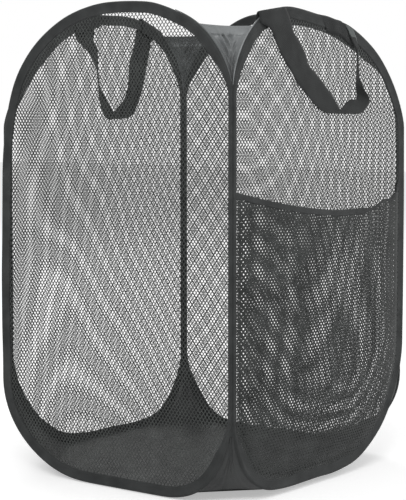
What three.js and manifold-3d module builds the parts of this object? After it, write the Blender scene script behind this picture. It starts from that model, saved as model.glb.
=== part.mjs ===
// Pop up laundry hamper: four spring wire loops with net sides, joined along their upright seams.
// Millimetres, +Z up. The origin is on the floor, at the middle of the base; the pocket faces -Y.
import * as THREE from 'three';
import { mergeVertices } from 'three/addons/utils/BufferGeometryUtils.js';
import Module from 'manifold-3d';

const wasm = await Module();
wasm.setup();

// Driving dimensions: the whole hamper
const hamper_height = 558;
const side_width = 348;
const fit_gap = 0.3;
const cut_overrun = 2;

// Corners of the front and back loops: reach across as a share of half the side, rise, squareness.
// Each loop is drawn in tightly at its gusseted seam and swings wide at its other seam
const handle_tight_top_share = 0.63;
const handle_tight_top_rise = 97;
const handle_tight_top_power = 1.96;
const handle_wide_top_share = 1;
const handle_wide_top_rise = 140;
const handle_wide_top_power = 1.46;
const handle_tight_bottom_share = 0.92;
const handle_tight_bottom_rise = 109;
const handle_tight_bottom_power = 3;
const handle_wide_bottom_share = 0.97;
const handle_wide_bottom_rise = 149;
const handle_wide_bottom_power = 1.86;

// Corners of the left and right loops, in the same terms
const plain_tight_top_share = 0.7;
const plain_tight_top_rise = 102;
const plain_tight_top_power = 1.85;
const plain_wide_top_share = 1;
const plain_wide_top_rise = 210;
const plain_wide_top_power = 2.25;
const plain_tight_bottom_share = 0.59;
const plain_tight_bottom_rise = 115;
const plain_tight_bottom_power = 2.42;
const plain_wide_bottom_share = 0.87;
const plain_wide_bottom_rise = 113;
const plain_wide_bottom_power = 2;

// Spring wire and the crimped sleeve that joins its ends
const wire_diameter = 2.2;
const sleeve_wall = 0.4;
const sleeve_length = 24;

// Tape folded over the wire and the edge of the net
const tape_thickness = 0.65;
const tape_width = 13;
const tape_grip = 7.85;

// Net sides
const net_thickness = 0.8;
const net_border = 1;
const strand_width = 5;
const gap_pitch_across = 66;
const gap_pitch_up = 70;
const least_gap_width = 6;

// Gussets between the loops, above and below the seams
const gusset_thickness = 0.6;
const gusset_flange = 7;
const gusset_bow = 4;
const top_gusset_depth = 68;
const top_gusset_hem_drop = 26;
const bottom_gusset_end = 14;
const gusset_start_inset = 2.5;

// Bottom cloth
const bottom_thickness = 0.8;
const bottom_seam_height = 6;
const bottom_sag_height = 3;

// Handles: webbing loops sewn over the front and back rims
const strap_width = 30;
const strap_thickness = 1.2;
const strap_shift = 29;
const strap_spread = 76;
const strap_end_depth = 16;
const strap_end_inside = 7;
const strap_drop = 92;

// The hanging strap's two edges, from the left end to the right. Each place is a share of the
// spread across, a share of the drop down, and a share of the strap's width out from the side
const inner_edge_shares = [
  [-0.803, 0, 0],
  [-0.76, 0.14, 0],
  [-0.18, 0.41, 0],
  [0.38, 0.76, 0.03],
  [0.69, 0.95, 0.05],
  [0.97, 0.85, 0.03],
  [1.1, 0.62, 0],
  [1.16, 0.34, 0],
  [1.197, 0.16, 0],
  [1.197, 0, 0],
];
const outer_edge_shares = [
  [-1.197, 0, 0],
  [-1.14, 0.18, 0],
  [-0.53, 0.65, 0.08],
  [0.05, 0.97, 0.45],
  [0.5, 1, 1],
  [0.99, 0.9, 1],
  [0.88, 0.7, 0.8],
  [0.84, 0.44, 0.45],
  [0.82, 0.22, 0],
  [0.803, 0, 0],
];

// Pocket: a second net on the front side with a taped mouth
const pocket_height = 348;
const pocket_mouth_sag = 26;
const pocket_mouth_skew_share = 0.45;
const pocket_bulge = 17;
const pocket_bulge_rise = 130;
const pocket_seam_inset = 3.5;
const pocket_tape_width = 9;
const pocket_tape_thickness = 0.7;
const pocket_slip = 0.6;
const mouth_fade_power = 6;

// Counts
const corner_steps = 7;
const wire_sides = 6;
const sleeve_sides = 8;
const tape_sides = 8;
const gusset_rows = 5;
const pocket_mouth_steps = 20;
const strap_end_steps = 3;
const strap_steps = 27;

// Colours
const tape_colour = 0x3d3f3e;
const strap_colour = 0x404241;
const net_colour = 0x2e3130;
const nylon_colour = 0x6f7172;
const base_colour = 0x3e403f;
const steel_colour = 0x9a9c9e;

// Sizes that follow from the driving dimensions
const half_side = side_width / 2;
const wire_radius = wire_diameter / 2;
const sleeve_bore = circumscribed(wire_radius, sleeve_sides) + fit_gap / 2;
const sleeve_radius = sleeve_bore + sleeve_wall;
const channel_radius = sleeve_radius + fit_gap;
const fold_radius = channel_radius + tape_thickness;
const loop_thickness = 2 * fold_radius;
const slit_half = net_thickness / 2 + fit_gap;
const lip_half = slit_half + tape_thickness;
const net_inset = tape_width - tape_grip;
const slit_start = net_inset - fit_gap;
const seam_inset = fit_gap / 2;
const loop_half_width = half_side - seam_inset;
const outer_face = half_side + loop_thickness;
const mid_plane = half_side + fold_radius;

// Distance from the axis to the corners of a regular polygon whose flats lie at the radius
function circumscribed(radius, sides) {
  return radius / Math.cos(Math.PI / sides);
}

function topCorner(across_share, rise, power) {
  return { width: across_share * loop_half_width, rise, power, level: hamper_height, facing: 1 };
}

function bottomCorner(across_share, rise, power) {
  return { width: across_share * loop_half_width, rise, power, level: 0, facing: -1 };
}

// Each loop's four rounded corners: the tight pair on its left, the wide pair on its right
const handle_loop = {
  tight_top: topCorner(handle_tight_top_share, handle_tight_top_rise, handle_tight_top_power),
  wide_top: topCorner(handle_wide_top_share, handle_wide_top_rise, handle_wide_top_power),
  tight_bottom: bottomCorner(
    handle_tight_bottom_share,
    handle_tight_bottom_rise,
    handle_tight_bottom_power,
  ),
  wide_bottom: bottomCorner(handle_wide_bottom_share, handle_wide_bottom_rise, handle_wide_bottom_power),
};

const plain_loop = {
  tight_top: topCorner(plain_tight_top_share, plain_tight_top_rise, plain_tight_top_power),
  wide_top: topCorner(plain_wide_top_share, plain_wide_top_rise, plain_wide_top_power),
  tight_bottom: bottomCorner(
    plain_tight_bottom_share,
    plain_tight_bottom_rise,
    plain_tight_bottom_power,
  ),
  wide_bottom: bottomCorner(plain_wide_bottom_share, plain_wide_bottom_rise, plain_wide_bottom_power),
};

// One rounded corner, as its outline points and inward directions, from the flat end to the seam
function cornerStations(corner) {
  const stations = [];
  for (let step = 0; step <= corner_steps; step += 1) {
    const turn = (step / corner_steps) * (Math.PI / 2);
    const across = Math.sin(turn) ** (2 / corner.power);
    const along = Math.cos(turn) ** (2 / corner.power);
    const slope_across = across ** (corner.power - 1) / corner.width;
    const slope_along = along ** (corner.power - 1) / corner.rise;
    const length = Math.hypot(slope_across, slope_along);
    stations.push({
      x: loop_half_width - corner.width + corner.width * across,
      z: corner.level + corner.facing * corner.rise * (along - 1),
      inward_x: -slope_across / length,
      inward_z: (-corner.facing * slope_along) / length,
    });
  }
  return stations;
}

// Half of the loop, from the middle of the base up to the middle of the top, on the right
function halfLoop(bottom, top) {
  return [...cornerStations(bottom), ...cornerStations(top).reverse()];
}

function mirrored(station) {
  return { ...station, x: -station.x, inward_x: -station.inward_x };
}

// The whole loop as a ring of stations, counter-clockwise seen from the front
function wholeLoop(loop) {
  const wide = halfLoop(loop.wide_bottom, loop.wide_top);
  const tight = halfLoop(loop.tight_bottom, loop.tight_top);
  return withoutRepeats([...wide, ...tight.map(mirrored).reverse()]);
}

// Neighbouring stations at one place become a single one, where two wide corners meet
function withoutRepeats(stations) {
  return stations.filter((station, index) => {
    const before = stations[(index + stations.length - 1) % stations.length];
    return Math.hypot(station.x - before.x, station.z - before.z) > fit_gap;
  });
}

// A point of the loop's plane, moved inward from the outline and out of the plane
function stationPoint(station, inset, out) {
  return new THREE.Vector3(
    station.x + station.inward_x * inset,
    -mid_plane - out,
    station.z + station.inward_z * inset,
  );
}

// How far the loop's outline stands in from the seam at a height within one corner
function outlineInset(corner, height) {
  const along = 1 - Math.abs(corner.level - height) / corner.rise;
  if (along <= 0) {
    return seam_inset;
  }
  const across = (1 - along ** corner.power) ** (1 / corner.power);
  return seam_inset + corner.width * (1 - across);
}

// Height within one corner at which the outline has left the seam by an inset
function heightAtInset(corner, inset) {
  const across = 1 - (inset - seam_inset) / corner.width;
  const along = 1 - (1 - across ** corner.power) ** (1 / corner.power);
  return corner.level - corner.facing * corner.rise * along;
}

// Height of the loop's top or base at a place across it, between its tight and its wide corner
function outlineHeight(tight_corner, wide_corner, x) {
  const corner = x < 0 ? tight_corner : wide_corner;
  const across = Math.max(0, (Math.abs(x) - (loop_half_width - corner.width)) / corner.width);
  const along = (1 - Math.min(across, 1) ** corner.power) ** (1 / corner.power);
  return corner.level + corner.facing * corner.rise * (along - 1);
}

// A closed surface from points and triangles, with its faces turned outward
function closedGeometry(points, triangles) {
  const geometry = new THREE.BufferGeometry();
  const numbers = points.flatMap((point) => point.toArray());
  geometry.setAttribute('position', new THREE.Float32BufferAttribute(numbers, 3));
  let volume = 0;
  for (const [a, b, c] of triangles) {
    volume += points[a].dot(points[b].clone().cross(points[c]));
  }
  const outward = volume > 0 ? triangles : triangles.map(([a, b, c]) => [a, c, b]);
  geometry.setIndex(outward.flat());
  geometry.computeVertexNormals();
  return geometry;
}

// A section carried along a route: each ring holds the section's points at one station
function loft(rings, closed, section) {
  const sides = rings[0].length;
  const triangles = [];
  const spans = closed ? rings.length : rings.length - 1;
  for (let ring = 0; ring < spans; ring += 1) {
    const here = ring * sides;
    const next = ((ring + 1) % rings.length) * sides;
    for (let side = 0; side < sides; side += 1) {
      const after = (side + 1) % sides;
      triangles.push([here + side, next + side, next + after]);
      triangles.push([here + side, next + after, here + after]);
    }
  }
  if (!closed) {
    const last = (rings.length - 1) * sides;
    const caps = THREE.ShapeUtils.triangulateShape(section, []);
    const near = isCounterClockwise(section) ? caps : caps.map(([a, b, c]) => [a, c, b]);
    triangles.push(...near);
    triangles.push(...near.map(([a, b, c]) => [last + a, last + c, last + b]));
  }
  return closedGeometry(rings.flat(), triangles);
}

function isCounterClockwise(section) {
  return THREE.ShapeUtils.area(section) > 0;
}

// An open sheet of points and triangles given a thickness, half of it on each side
function thicken(points, faces, thickness) {
  const normals = points.map(() => new THREE.Vector3());
  const open_edges = new Map();
  for (const face of faces) {
    const [a, b, c] = face.map((index) => points[index]);
    const normal = b.clone().sub(a).cross(c.clone().sub(a));
    face.forEach((index) => normals[index].add(normal));
    face.forEach((from, side) => {
      const to = face[(side + 1) % face.length];
      if (!open_edges.delete(`${to} ${from}`)) {
        open_edges.set(`${from} ${to}`, [from, to]);
      }
    });
  }
  normals.forEach((normal) => normal.normalize().multiplyScalar(thickness / 2));
  const count = points.length;
  const outer = points.map((point, index) => point.clone().add(normals[index]));
  const inner = points.map((point, index) => point.clone().sub(normals[index]));
  const triangles = [...faces, ...faces.map(([a, b, c]) => [count + a, count + c, count + b])];
  for (const [from, to] of open_edges.values()) {
    triangles.push([to, from, count + from]);
    triangles.push([to, count + from, count + to]);
  }
  return closedGeometry([...outer, ...inner], triangles);
}

// Triangles of a sheet laid out in rows and columns
function gridFaces(rows, columns) {
  const faces = [];
  for (let row = 0; row < rows - 1; row += 1) {
    for (let column = 0; column < columns - 1; column += 1) {
      const corner = row * columns + column;
      faces.push([corner, corner + 1, corner + columns + 1]);
      faces.push([corner, corner + columns + 1, corner + columns]);
    }
  }
  return faces;
}

// Round section of the wire, on the line where the tape's fold holds it
function wireSection() {
  const section = [];
  for (let side = 0; side < wire_sides; side += 1) {
    const angle = (side / wire_sides) * 2 * Math.PI;
    section.push(new THREE.Vector2(
      fold_radius + wire_radius * Math.cos(angle),
      wire_radius * Math.sin(angle),
    ));
  }
  return section;
}

// Where the wire's two ends face each other: the middle of the base's flat stretch
function joinPlace(loop) {
  return (loop.tight_bottom.width - loop.wide_bottom.width) / 2;
}

// The wire runs once round the loop, from one end to the other
function wireGeometry(loop) {
  const section = wireSection();
  const join = joinPlace(loop);
  const start = { x: join + seam_inset, z: 0, inward_x: 0, inward_z: 1 };
  const end = { ...start, x: join - seam_inset };
  const route = [start, ...wholeLoop(loop), end];
  const rings = route.map((station) => section.map((point) => stationPoint(station, point.x, point.y)));
  return loft(rings, false, section);
}

// Crimped sleeve over the wire's two ends
function sleeveGeometry(loop) {
  const bore = circumscribed(sleeve_bore, sleeve_sides);
  const outside = sleeve_radius;
  const half = sleeve_length / 2;
  const profile = [
    new THREE.Vector2(bore, -half),
    new THREE.Vector2(outside + bore - sleeve_bore, -half),
    new THREE.Vector2(outside + bore - sleeve_bore, half),
    new THREE.Vector2(bore, half),
    new THREE.Vector2(bore, -half),
  ];
  const geometry = new THREE.LatheGeometry(profile, sleeve_sides);
  geometry.rotateZ(Math.PI / 2);
  geometry.rotateX(Math.PI / sleeve_sides);
  geometry.translate(joinPlace(loop), -mid_plane, fold_radius);
  return geometry;
}

// Arc of a polygon with flats on the fold's faces, from one side of the slit round to the other
function foldArc(radius) {
  const reach = circumscribed(radius, tape_sides);
  const points = [];
  for (let corner = 1; corner < tape_sides - 1; corner += 1) {
    const angle = ((corner + 0.5) / tape_sides) * 2 * Math.PI;
    points.push(new THREE.Vector2(fold_radius + reach * Math.cos(angle), reach * Math.sin(angle)));
  }
  return points;
}

// Section of the folded tape: a round fold for the wire and two lips that grip the net
function tapeSection() {
  const lip = new THREE.Vector2(tape_width, lip_half);
  const slit_mouth = new THREE.Vector2(tape_width, slit_half);
  const slit_root = new THREE.Vector2(slit_start, slit_half);
  const under = (point) => new THREE.Vector2(point.x, -point.y);
  return [
    lip,
    ...foldArc(fold_radius),
    under(lip),
    under(slit_mouth),
    under(slit_root),
    ...foldArc(channel_radius).reverse(),
    slit_root,
    slit_mouth,
  ];
}

function tapeGeometry(loop) {
  const section = tapeSection();
  const rings = wholeLoop(loop).map((station) => (
    section.map((point) => stationPoint(station, point.x, point.y))
  ));
  return loft(rings, true, section);
}

// Outline of the loop drawn in by an inset, as points of its plane
function insetOutline(loop, inset) {
  return wholeLoop(loop).map((station) => new THREE.Vector2(
    station.x + station.inward_x * inset,
    station.z + station.inward_z * inset,
  ));
}

// Diamonds in staggered rows over the whole side, one for each gap of the net
function netDiamonds() {
  const half_across = gap_pitch_across / 2;
  const half_up = gap_pitch_up / 2;
  const to_strand = (half_across * half_up) / Math.hypot(half_across, half_up);
  const open_share = 1 - strand_width / 2 / to_strand;
  const rows = Math.ceil(hamper_height / half_up);
  const columns = Math.ceil(side_width / gap_pitch_across);
  const diamonds = [];
  for (let row = 0; row <= rows; row += 1) {
    for (let column = -columns; column <= columns; column += 1) {
      const x = (column + (row % 2) / 2) * gap_pitch_across;
      const z = row * half_up;
      diamonds.push(new THREE.Shape([
        new THREE.Vector2(x + half_across * open_share, z),
        new THREE.Vector2(x, z + half_up * open_share),
        new THREE.Vector2(x - half_across * open_share, z),
        new THREE.Vector2(x, z - half_up * open_share),
      ]));
    }
  }
  return diamonds;
}

// A flat net with a plain border, standing upright: the gaps stay inside the open outline
function flatNet(outline, open_outline) {
  const depth = net_thickness + 2 * cut_overrun;
  const sheet = toSolid(upright(new THREE.Shape(outline), net_thickness));
  const open = toSolid(upright(new THREE.Shape(open_outline), depth));
  const gaps = toSolid(upright(netDiamonds(), depth)).intersect(open).decompose();
  const kept = gaps.filter((gap) => gap.volume() > depth * least_gap_width ** 2);
  return fromSolid(sheet.subtract(wasm.Manifold.union(kept)));
}

// Flat shapes drawn across and up, extruded evenly to both sides of the upright middle plane
function upright(shapes, depth) {
  const geometry = new THREE.ExtrudeGeometry(shapes, { depth, bevelEnabled: false });
  geometry.rotateX(Math.PI / 2);
  geometry.translate(0, depth / 2, 0);
  return geometry;
}

function toSolid(geometry) {
  geometry.deleteAttribute('normal');
  geometry.deleteAttribute('uv');
  const merged = mergeVertices(geometry);
  return new wasm.Manifold(new wasm.Mesh({
    numProp: 3,
    vertProperties: new Float32Array(merged.getAttribute('position').array),
    triVerts: new Uint32Array(merged.getIndex().array),
  }));
}

function fromSolid(solid) {
  const mesh = solid.getMesh();
  const geometry = new THREE.BufferGeometry();
  geometry.setAttribute('position', new THREE.Float32BufferAttribute(mesh.vertProperties, mesh.numProp));
  geometry.setIndex([...mesh.triVerts]);
  geometry.computeVertexNormals();
  return geometry;
}

function netGeometry(loop) {
  const geometry = flatNet(insetOutline(loop, net_inset), insetOutline(loop, tape_width - net_border));
  geometry.translate(0, -mid_plane, 0);
  return geometry;
}

// One gusset across the front left corner, between the corners of two loops, over a span of heights
function gussetGeometry(left_corner, front_corner, from_height, to_height) {
  const face = half_side - fit_gap - gusset_thickness / 2;
  const widest = outlineInset(left_corner, to_height) + outlineInset(front_corner, to_height);
  const points = [];
  for (let row = 0; row < gusset_rows; row += 1) {
    const height = from_height + (to_height - from_height) * (row / (gusset_rows - 1));
    const left_inset = outlineInset(left_corner, height);
    const front_inset = outlineInset(front_corner, height);
    const left_edge = half_side - left_inset - tape_thickness;
    const front_edge = half_side - front_inset - tape_thickness;
    const bow = (gusset_bow * (left_inset + front_inset)) / widest;
    points.push(new THREE.Vector3(-face, -(left_edge - gusset_flange), height));
    points.push(new THREE.Vector3(-face, -left_edge, height));
    points.push(new THREE.Vector3(
      -(face + front_edge) / 2 + bow * Math.SQRT1_2,
      -(face + left_edge) / 2 + bow * Math.SQRT1_2,
      height,
    ));
    points.push(new THREE.Vector3(-front_edge, -face, height));
    points.push(new THREE.Vector3(-(front_edge - gusset_flange), -face, height));
  }
  const columns = points.length / gusset_rows;
  return thicken(points, gridFaces(gusset_rows, columns), gusset_thickness);
}

function topGussetGeometry(left_loop, front_loop) {
  const hem = hamper_height - top_gusset_hem_drop;
  return gussetGeometry(left_loop.tight_top, front_loop.tight_top, hem - top_gusset_depth, hem);
}

function bottomGussetGeometry(left_corner, front_corner) {
  const start = Math.min(
    heightAtInset(left_corner, gusset_start_inset),
    heightAtInset(front_corner, gusset_start_inset),
  );
  return gussetGeometry(left_corner, front_corner, start, bottom_gusset_end);
}

// How far from the middle of a side the bottom cloth's edge turns across a corner
function bottomCornerReach(corner) {
  return half_side - outlineInset(corner, bottom_gusset_end) - tape_thickness;
}

// The bottom cloth's edge along one loop, from the tight corner to the wide one
function bottomEdge(loop) {
  const face = half_side - fit_gap;
  const corner_height = bottom_gusset_end - fit_gap - (bottom_thickness + gusset_thickness) / 2;
  const step_shares = [1, 0.82, 0.5, 0];
  const tight = step_shares.map((share) => -share * bottomCornerReach(loop.tight_bottom));
  const wide = step_shares.slice(0, -1).reverse().map((share) => share * bottomCornerReach(loop.wide_bottom));
  return [...tight, ...wide].map((x) => {
    const seam = outlineHeight(loop.tight_bottom, loop.wide_bottom, x) + bottom_seam_height;
    return new THREE.Vector3(x, -face, Math.min(seam, corner_height));
  });
}

// Bottom cloth: sewn to the four loops, rising at the corners and lying low in the middle
function bottomGeometry() {
  const front = bottomEdge(handle_loop);
  const flipped = bottomEdge(plain_loop).reverse();
  const right = flipped.map((point) => new THREE.Vector3(-point.x, point.y, point.z));
  const up = new THREE.Vector3(0, 0, 1);
  const edge = [front, right, front, right].flatMap((side, quarter) => (
    side.map((point) => point.clone().applyAxisAngle(up, (quarter * Math.PI) / 2))
  ));
  const ring_shares = [1, 0.86, 0.6];
  const points = [];
  for (const share of ring_shares) {
    for (const point of edge) {
      const fall = bottom_sag_height + (point.z - bottom_sag_height) * share ** 4;
      points.push(new THREE.Vector3(point.x * share, point.y * share, fall));
    }
  }
  const count = edge.length;
  const faces = [];
  for (let ring = 0; ring < ring_shares.length - 1; ring += 1) {
    for (let index = 0; index < count; index += 1) {
      const next = (index + 1) % count;
      const outer = ring * count;
      const inner = outer + count;
      faces.push([outer + index, outer + next, inner + next]);
      faces.push([outer + index, inner + next, inner + index]);
    }
  }
  const centre = points.length;
  points.push(new THREE.Vector3(0, 0, bottom_sag_height));
  for (let index = 0; index < count; index += 1) {
    faces.push([centre - count + index, centre - count + ((index + 1) % count), centre]);
  }
  return thicken(points, faces, bottom_thickness);
}

function rimHeight(x) {
  return outlineHeight(handle_loop.tight_top, handle_loop.wide_top, x);
}

// Height at which both ends of a handle leave the rim
function strapHingeHeight() {
  return rimHeight(strap_spread - strap_shift) - strap_end_depth;
}

// Sewn end of the webbing, folded over the rim: down the outside and a little way inside
function strapEndGeometry(side) {
  const outside = fold_radius + fit_gap + strap_thickness;
  const inside = fold_radius + fit_gap;
  const rings = [];
  for (let step = 0; step <= strap_end_steps; step += 1) {
    const x = side * strap_spread - strap_shift + strap_width * (step / strap_end_steps - 0.5);
    const top = rimHeight(x) + fit_gap;
    const low = strapHingeHeight();
    const inner_low = top - strap_end_inside;
    const profile = [
      [outside, low],
      [outside, top],
      [inside, top + strap_thickness],
      [-inside, top + strap_thickness],
      [-outside, top],
      [-outside, inner_low],
      [-inside, inner_low],
      [-inside, top],
      [inside, top],
      [inside, low],
    ];
    rings.push(profile.map(([out, z]) => new THREE.Vector3(x, -mid_plane - out, z)));
  }
  const section = rings[0].map((point) => new THREE.Vector2(point.y, point.z));
  return loft(rings, false, section);
}

// One edge of the hanging strap, as places on a smooth curve through its shares
function strapEdge(edge_shares) {
  const plane = outer_face + fit_gap + strap_thickness / 2;
  const top = strapHingeHeight() - fit_gap;
  const curve = new THREE.CatmullRomCurve3(edge_shares.map((place) => new THREE.Vector3(...place)));
  curve.curveType = 'catmullrom';
  const places = [];
  for (let step = 0; step <= strap_steps; step += 1) {
    const place = curve.getPoint(step / strap_steps);
    places.push(new THREE.Vector3(
      strap_spread * place.x - strap_shift,
      -plane - strap_width * Math.max(0, place.z),
      top - strap_drop * Math.max(0, place.y),
    ));
  }
  return places;
}

// Handle: flat webbing that lies on the side at its sewn ends and turns edge on where it hangs
function strapGeometry() {
  const inner = strapEdge(inner_edge_shares);
  const outer = strapEdge(outer_edge_shares);
  const points = inner.flatMap((place, index) => [outer[index], place]);
  return thicken(points, gridFaces(inner.length, 2), strap_thickness);
}

// How far the pocket stands out from the side: nothing along its seams, most along the middle
function pocketStandOff(x, z) {
  const above = z - outlineHeight(handle_loop.tight_bottom, handle_loop.wide_bottom, x);
  const share = Math.min(1, Math.max(0, above / pocket_bulge_rise));
  const across = Math.max(0, 1 - (x / pocketHalfWidth()) ** 2);
  return pocket_bulge * across * share * share * (3 - 2 * share);
}

// Height of the pocket's mouth, which hangs lowest a little right of the middle
function mouthHeight(x) {
  const across = x / pocketHalfWidth();
  const skewed = 1 + pocket_mouth_skew_share * across;
  return pocket_height - pocket_mouth_sag * skewed * Math.max(0, 1 - across ** 2);
}

// Room that the tape round the mouth takes between the net and the side, fading out below it
function mouthStandOff(x, z) {
  return (pocket_slip + pocket_tape_thickness) * (z / mouthHeight(x)) ** mouth_fade_power;
}

// Moves a place of the flat pocket out from the side to where the filled cloth lies
function settlePocket(point) {
  const base = outer_face + fit_gap + net_thickness / 2;
  const out = base + mouthStandOff(point.x, point.z) + pocketStandOff(point.x, point.z);
  point.y -= out;
}

function pocketHalfWidth() {
  return loop_half_width - pocket_seam_inset;
}

// Places across the pocket's mouth, from the right seam to the left
function mouthPlaces(half_width) {
  const places = [];
  for (let step = 0; step <= pocket_mouth_steps; step += 1) {
    places.push(half_width * (1 - (2 * step) / pocket_mouth_steps));
  }
  return places;
}

// Outline of the pocket's flat cloth: the loop drawn in by an inset, cut off along the mouth
function pocketOutline(inset, below_mouth) {
  const loop = insetOutline(handle_loop, inset).filter((point) => point.y < pocket_height / 2);
  const right = loop.filter((point) => point.x > 0);
  const left = loop.filter((point) => point.x < 0);
  const mouth = mouthPlaces(loop_half_width - inset);
  return [...right, ...mouth.map((x) => new THREE.Vector2(x, mouthHeight(x) - below_mouth)), ...left];
}

// Pocket net: sewn to the front tape along both seams and the base
function pocketNetGeometry() {
  const outline = pocketOutline(pocket_seam_inset, pocket_tape_thickness + pocket_slip);
  const open_outline = pocketOutline(tape_width, pocket_tape_width);
  const geometry = flatNet(outline, open_outline);
  const place = geometry.getAttribute('position');
  const point = new THREE.Vector3();
  for (let index = 0; index < place.count; index += 1) {
    point.fromBufferAttribute(place, index);
    settlePocket(point);
    place.setXYZ(index, point.x, point.y, point.z);
  }
  geometry.computeVertexNormals();
  return geometry;
}

// Tape folded over the pocket's mouth, from seam to seam
function pocketTapeGeometry() {
  const inner = net_thickness / 2 + pocket_slip;
  const outer = inner + pocket_tape_thickness;
  const profile = [
    [outer, pocket_tape_width],
    [outer, 0],
    [-outer, 0],
    [-outer, pocket_tape_width],
    [-inner, pocket_tape_width],
    [-inner, pocket_tape_thickness],
    [inner, pocket_tape_thickness],
    [inner, pocket_tape_width],
  ];
  const rings = mouthPlaces(pocketHalfWidth()).map((x) => profile.map(([out, below]) => {
    const point = new THREE.Vector3(x, -out, mouthHeight(x) - below);
    settlePocket(point);
    return point;
  }));
  const section = profile.map(([out, below]) => new THREE.Vector2(-out, -below));
  return loft(rings, false, section);
}

function cloth(colour, roughness) {
  return new THREE.MeshStandardMaterial({ color: colour, roughness, metalness: 0, side: THREE.DoubleSide });
}

function piece(name, geometry, material) {
  const mesh = new THREE.Mesh(geometry, material);
  mesh.name = name;
  return mesh;
}

// A group of pieces built as if on the front, turned to the side or corner where they belong
function turned(quarter_turns, ...pieces) {
  const group = new THREE.Group();
  group.rotation.z = (quarter_turns * Math.PI) / 2;
  group.add(...pieces);
  return group;
}

// One side: its wire, sleeve, tape and net, with the tight corners on its left unless it is flipped
function sidePieces(side, loop, flipped) {
  const turn = flipped ? mirroredGeometry : (geometry) => geometry;
  const steel = { color: steel_colour, roughness: 0.4, metalness: 1 };
  return [
    piece(`${side}_spring_wire`, turn(wireGeometry(loop)), new THREE.MeshStandardMaterial(steel)),
    piece(`${side}_crimp_sleeve`, turn(sleeveGeometry(loop)), new THREE.MeshStandardMaterial(steel)),
    piece(`${side}_binding`, turn(tapeGeometry(loop)), cloth(tape_colour, 0.9)),
    piece(`${side}_net`, turn(netGeometry(loop)), cloth(net_colour, 0.8)),
  ];
}

function handlePieces(side) {
  return [
    piece(`${side}_strap_end_left`, strapEndGeometry(-1), cloth(strap_colour, 0.85)),
    piece(`${side}_strap_end_right`, strapEndGeometry(1), cloth(strap_colour, 0.85)),
    piece(`${side}_handle`, strapGeometry(), cloth(strap_colour, 0.85)),
  ];
}

// The same solid on the other side of the middle plane, with its faces still outward
function mirroredGeometry(geometry) {
  const place = geometry.getAttribute('position');
  const points = [];
  for (let index = 0; index < place.count; index += 1) {
    points.push(new THREE.Vector3(-place.getX(index), place.getY(index), place.getZ(index)));
  }
  const order = geometry.getIndex().array;
  const triangles = [];
  for (let index = 0; index < order.length; index += 3) {
    triangles.push([order[index], order[index + 1], order[index + 2]]);
  }
  return closedGeometry(points, triangles);
}

function pocketPieces() {
  return [
    piece('pocket_net', pocketNetGeometry(), cloth(net_colour, 0.8)),
    piece('pocket_binding', pocketTapeGeometry(), cloth(tape_colour, 0.9)),
  ];
}

function topGusset(corner, left_loop, front_loop) {
  return piece(`top_gusset_${corner}`, topGussetGeometry(left_loop, front_loop), cloth(nylon_colour, 0.45));
}

function bottomGusset(corner, left_corner, front_corner) {
  const geometry = bottomGussetGeometry(left_corner, front_corner);
  return piece(`bottom_gusset_${corner}`, geometry, cloth(base_colour, 0.8));
}

const hamper = new THREE.Group();
hamper.add(
  turned(0, ...sidePieces('front', handle_loop, false), ...handlePieces('front'), ...pocketPieces()),
  turned(1, ...sidePieces('right', plain_loop, true)),
  turned(2, ...sidePieces('back', handle_loop, false), ...handlePieces('back')),
  turned(3, ...sidePieces('left', plain_loop, true)),
  turned(0, topGusset('front_left', plain_loop, handle_loop)),
  turned(0, bottomGusset('front_left', plain_loop.tight_bottom, handle_loop.tight_bottom)),
  turned(1, bottomGusset('front_right', handle_loop.wide_bottom, plain_loop.wide_bottom)),
  turned(2, topGusset('back_right', plain_loop, handle_loop)),
  turned(2, bottomGusset('back_right', plain_loop.tight_bottom, handle_loop.tight_bottom)),
  turned(3, bottomGusset('back_left', handle_loop.wide_bottom, plain_loop.wide_bottom)),
  piece('bottom_cloth', bottomGeometry(), cloth(base_colour, 0.8)),
);

export default hamper;
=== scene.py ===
import math

import bpy
import numpy as np
from mathutils import Matrix, Vector


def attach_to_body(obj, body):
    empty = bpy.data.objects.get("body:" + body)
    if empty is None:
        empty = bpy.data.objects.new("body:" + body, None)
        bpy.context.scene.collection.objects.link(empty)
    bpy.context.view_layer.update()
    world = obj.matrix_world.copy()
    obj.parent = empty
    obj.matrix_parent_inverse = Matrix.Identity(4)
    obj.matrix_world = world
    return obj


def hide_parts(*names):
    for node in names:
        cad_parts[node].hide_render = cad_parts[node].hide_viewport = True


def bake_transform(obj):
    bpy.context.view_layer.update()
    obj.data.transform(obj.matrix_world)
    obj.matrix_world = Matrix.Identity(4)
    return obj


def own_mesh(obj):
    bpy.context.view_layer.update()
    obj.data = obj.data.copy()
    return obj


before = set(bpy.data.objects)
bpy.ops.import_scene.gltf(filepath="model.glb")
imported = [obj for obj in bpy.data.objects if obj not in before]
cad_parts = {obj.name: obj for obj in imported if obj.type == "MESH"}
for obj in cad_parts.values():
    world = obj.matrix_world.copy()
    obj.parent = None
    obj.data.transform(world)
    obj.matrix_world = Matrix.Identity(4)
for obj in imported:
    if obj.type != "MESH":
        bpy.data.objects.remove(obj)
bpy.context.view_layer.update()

# Lengths below are millimetres, and become metres when a piece is made
MM = 0.001
HEIGHT = 558.0
HALF_SIDE = 174.0
SIDE_CLEARANCE = 0.15
FOLD_RADIUS = 2.69
MID_PLANE = HALF_SIDE + FOLD_RADIUS
OUTER_FACE = HALF_SIDE + 2 * FOLD_RADIUS
HALF_WIDTH = HALF_SIDE - SIDE_CLEARANCE

# Tapes are wide at the rims and bases, and narrow where two tight corners are sewn together
TAPE_WIDTH, SEAM_TAPE = 13.0, 4.4
FULL_FOLD, SEAM_FOLD = 2.6, 1.5
SEAM_FOLD_INSET = 0.7
SEAM_PLANE_SHIFT = -1.14
RIGHT_TAPE_LOSS = 6.5
WIRE_RADIUS = 0.95
SLEEVE_RADIUS, SLEEVE_PINCH = 1.6, 0.3

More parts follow.
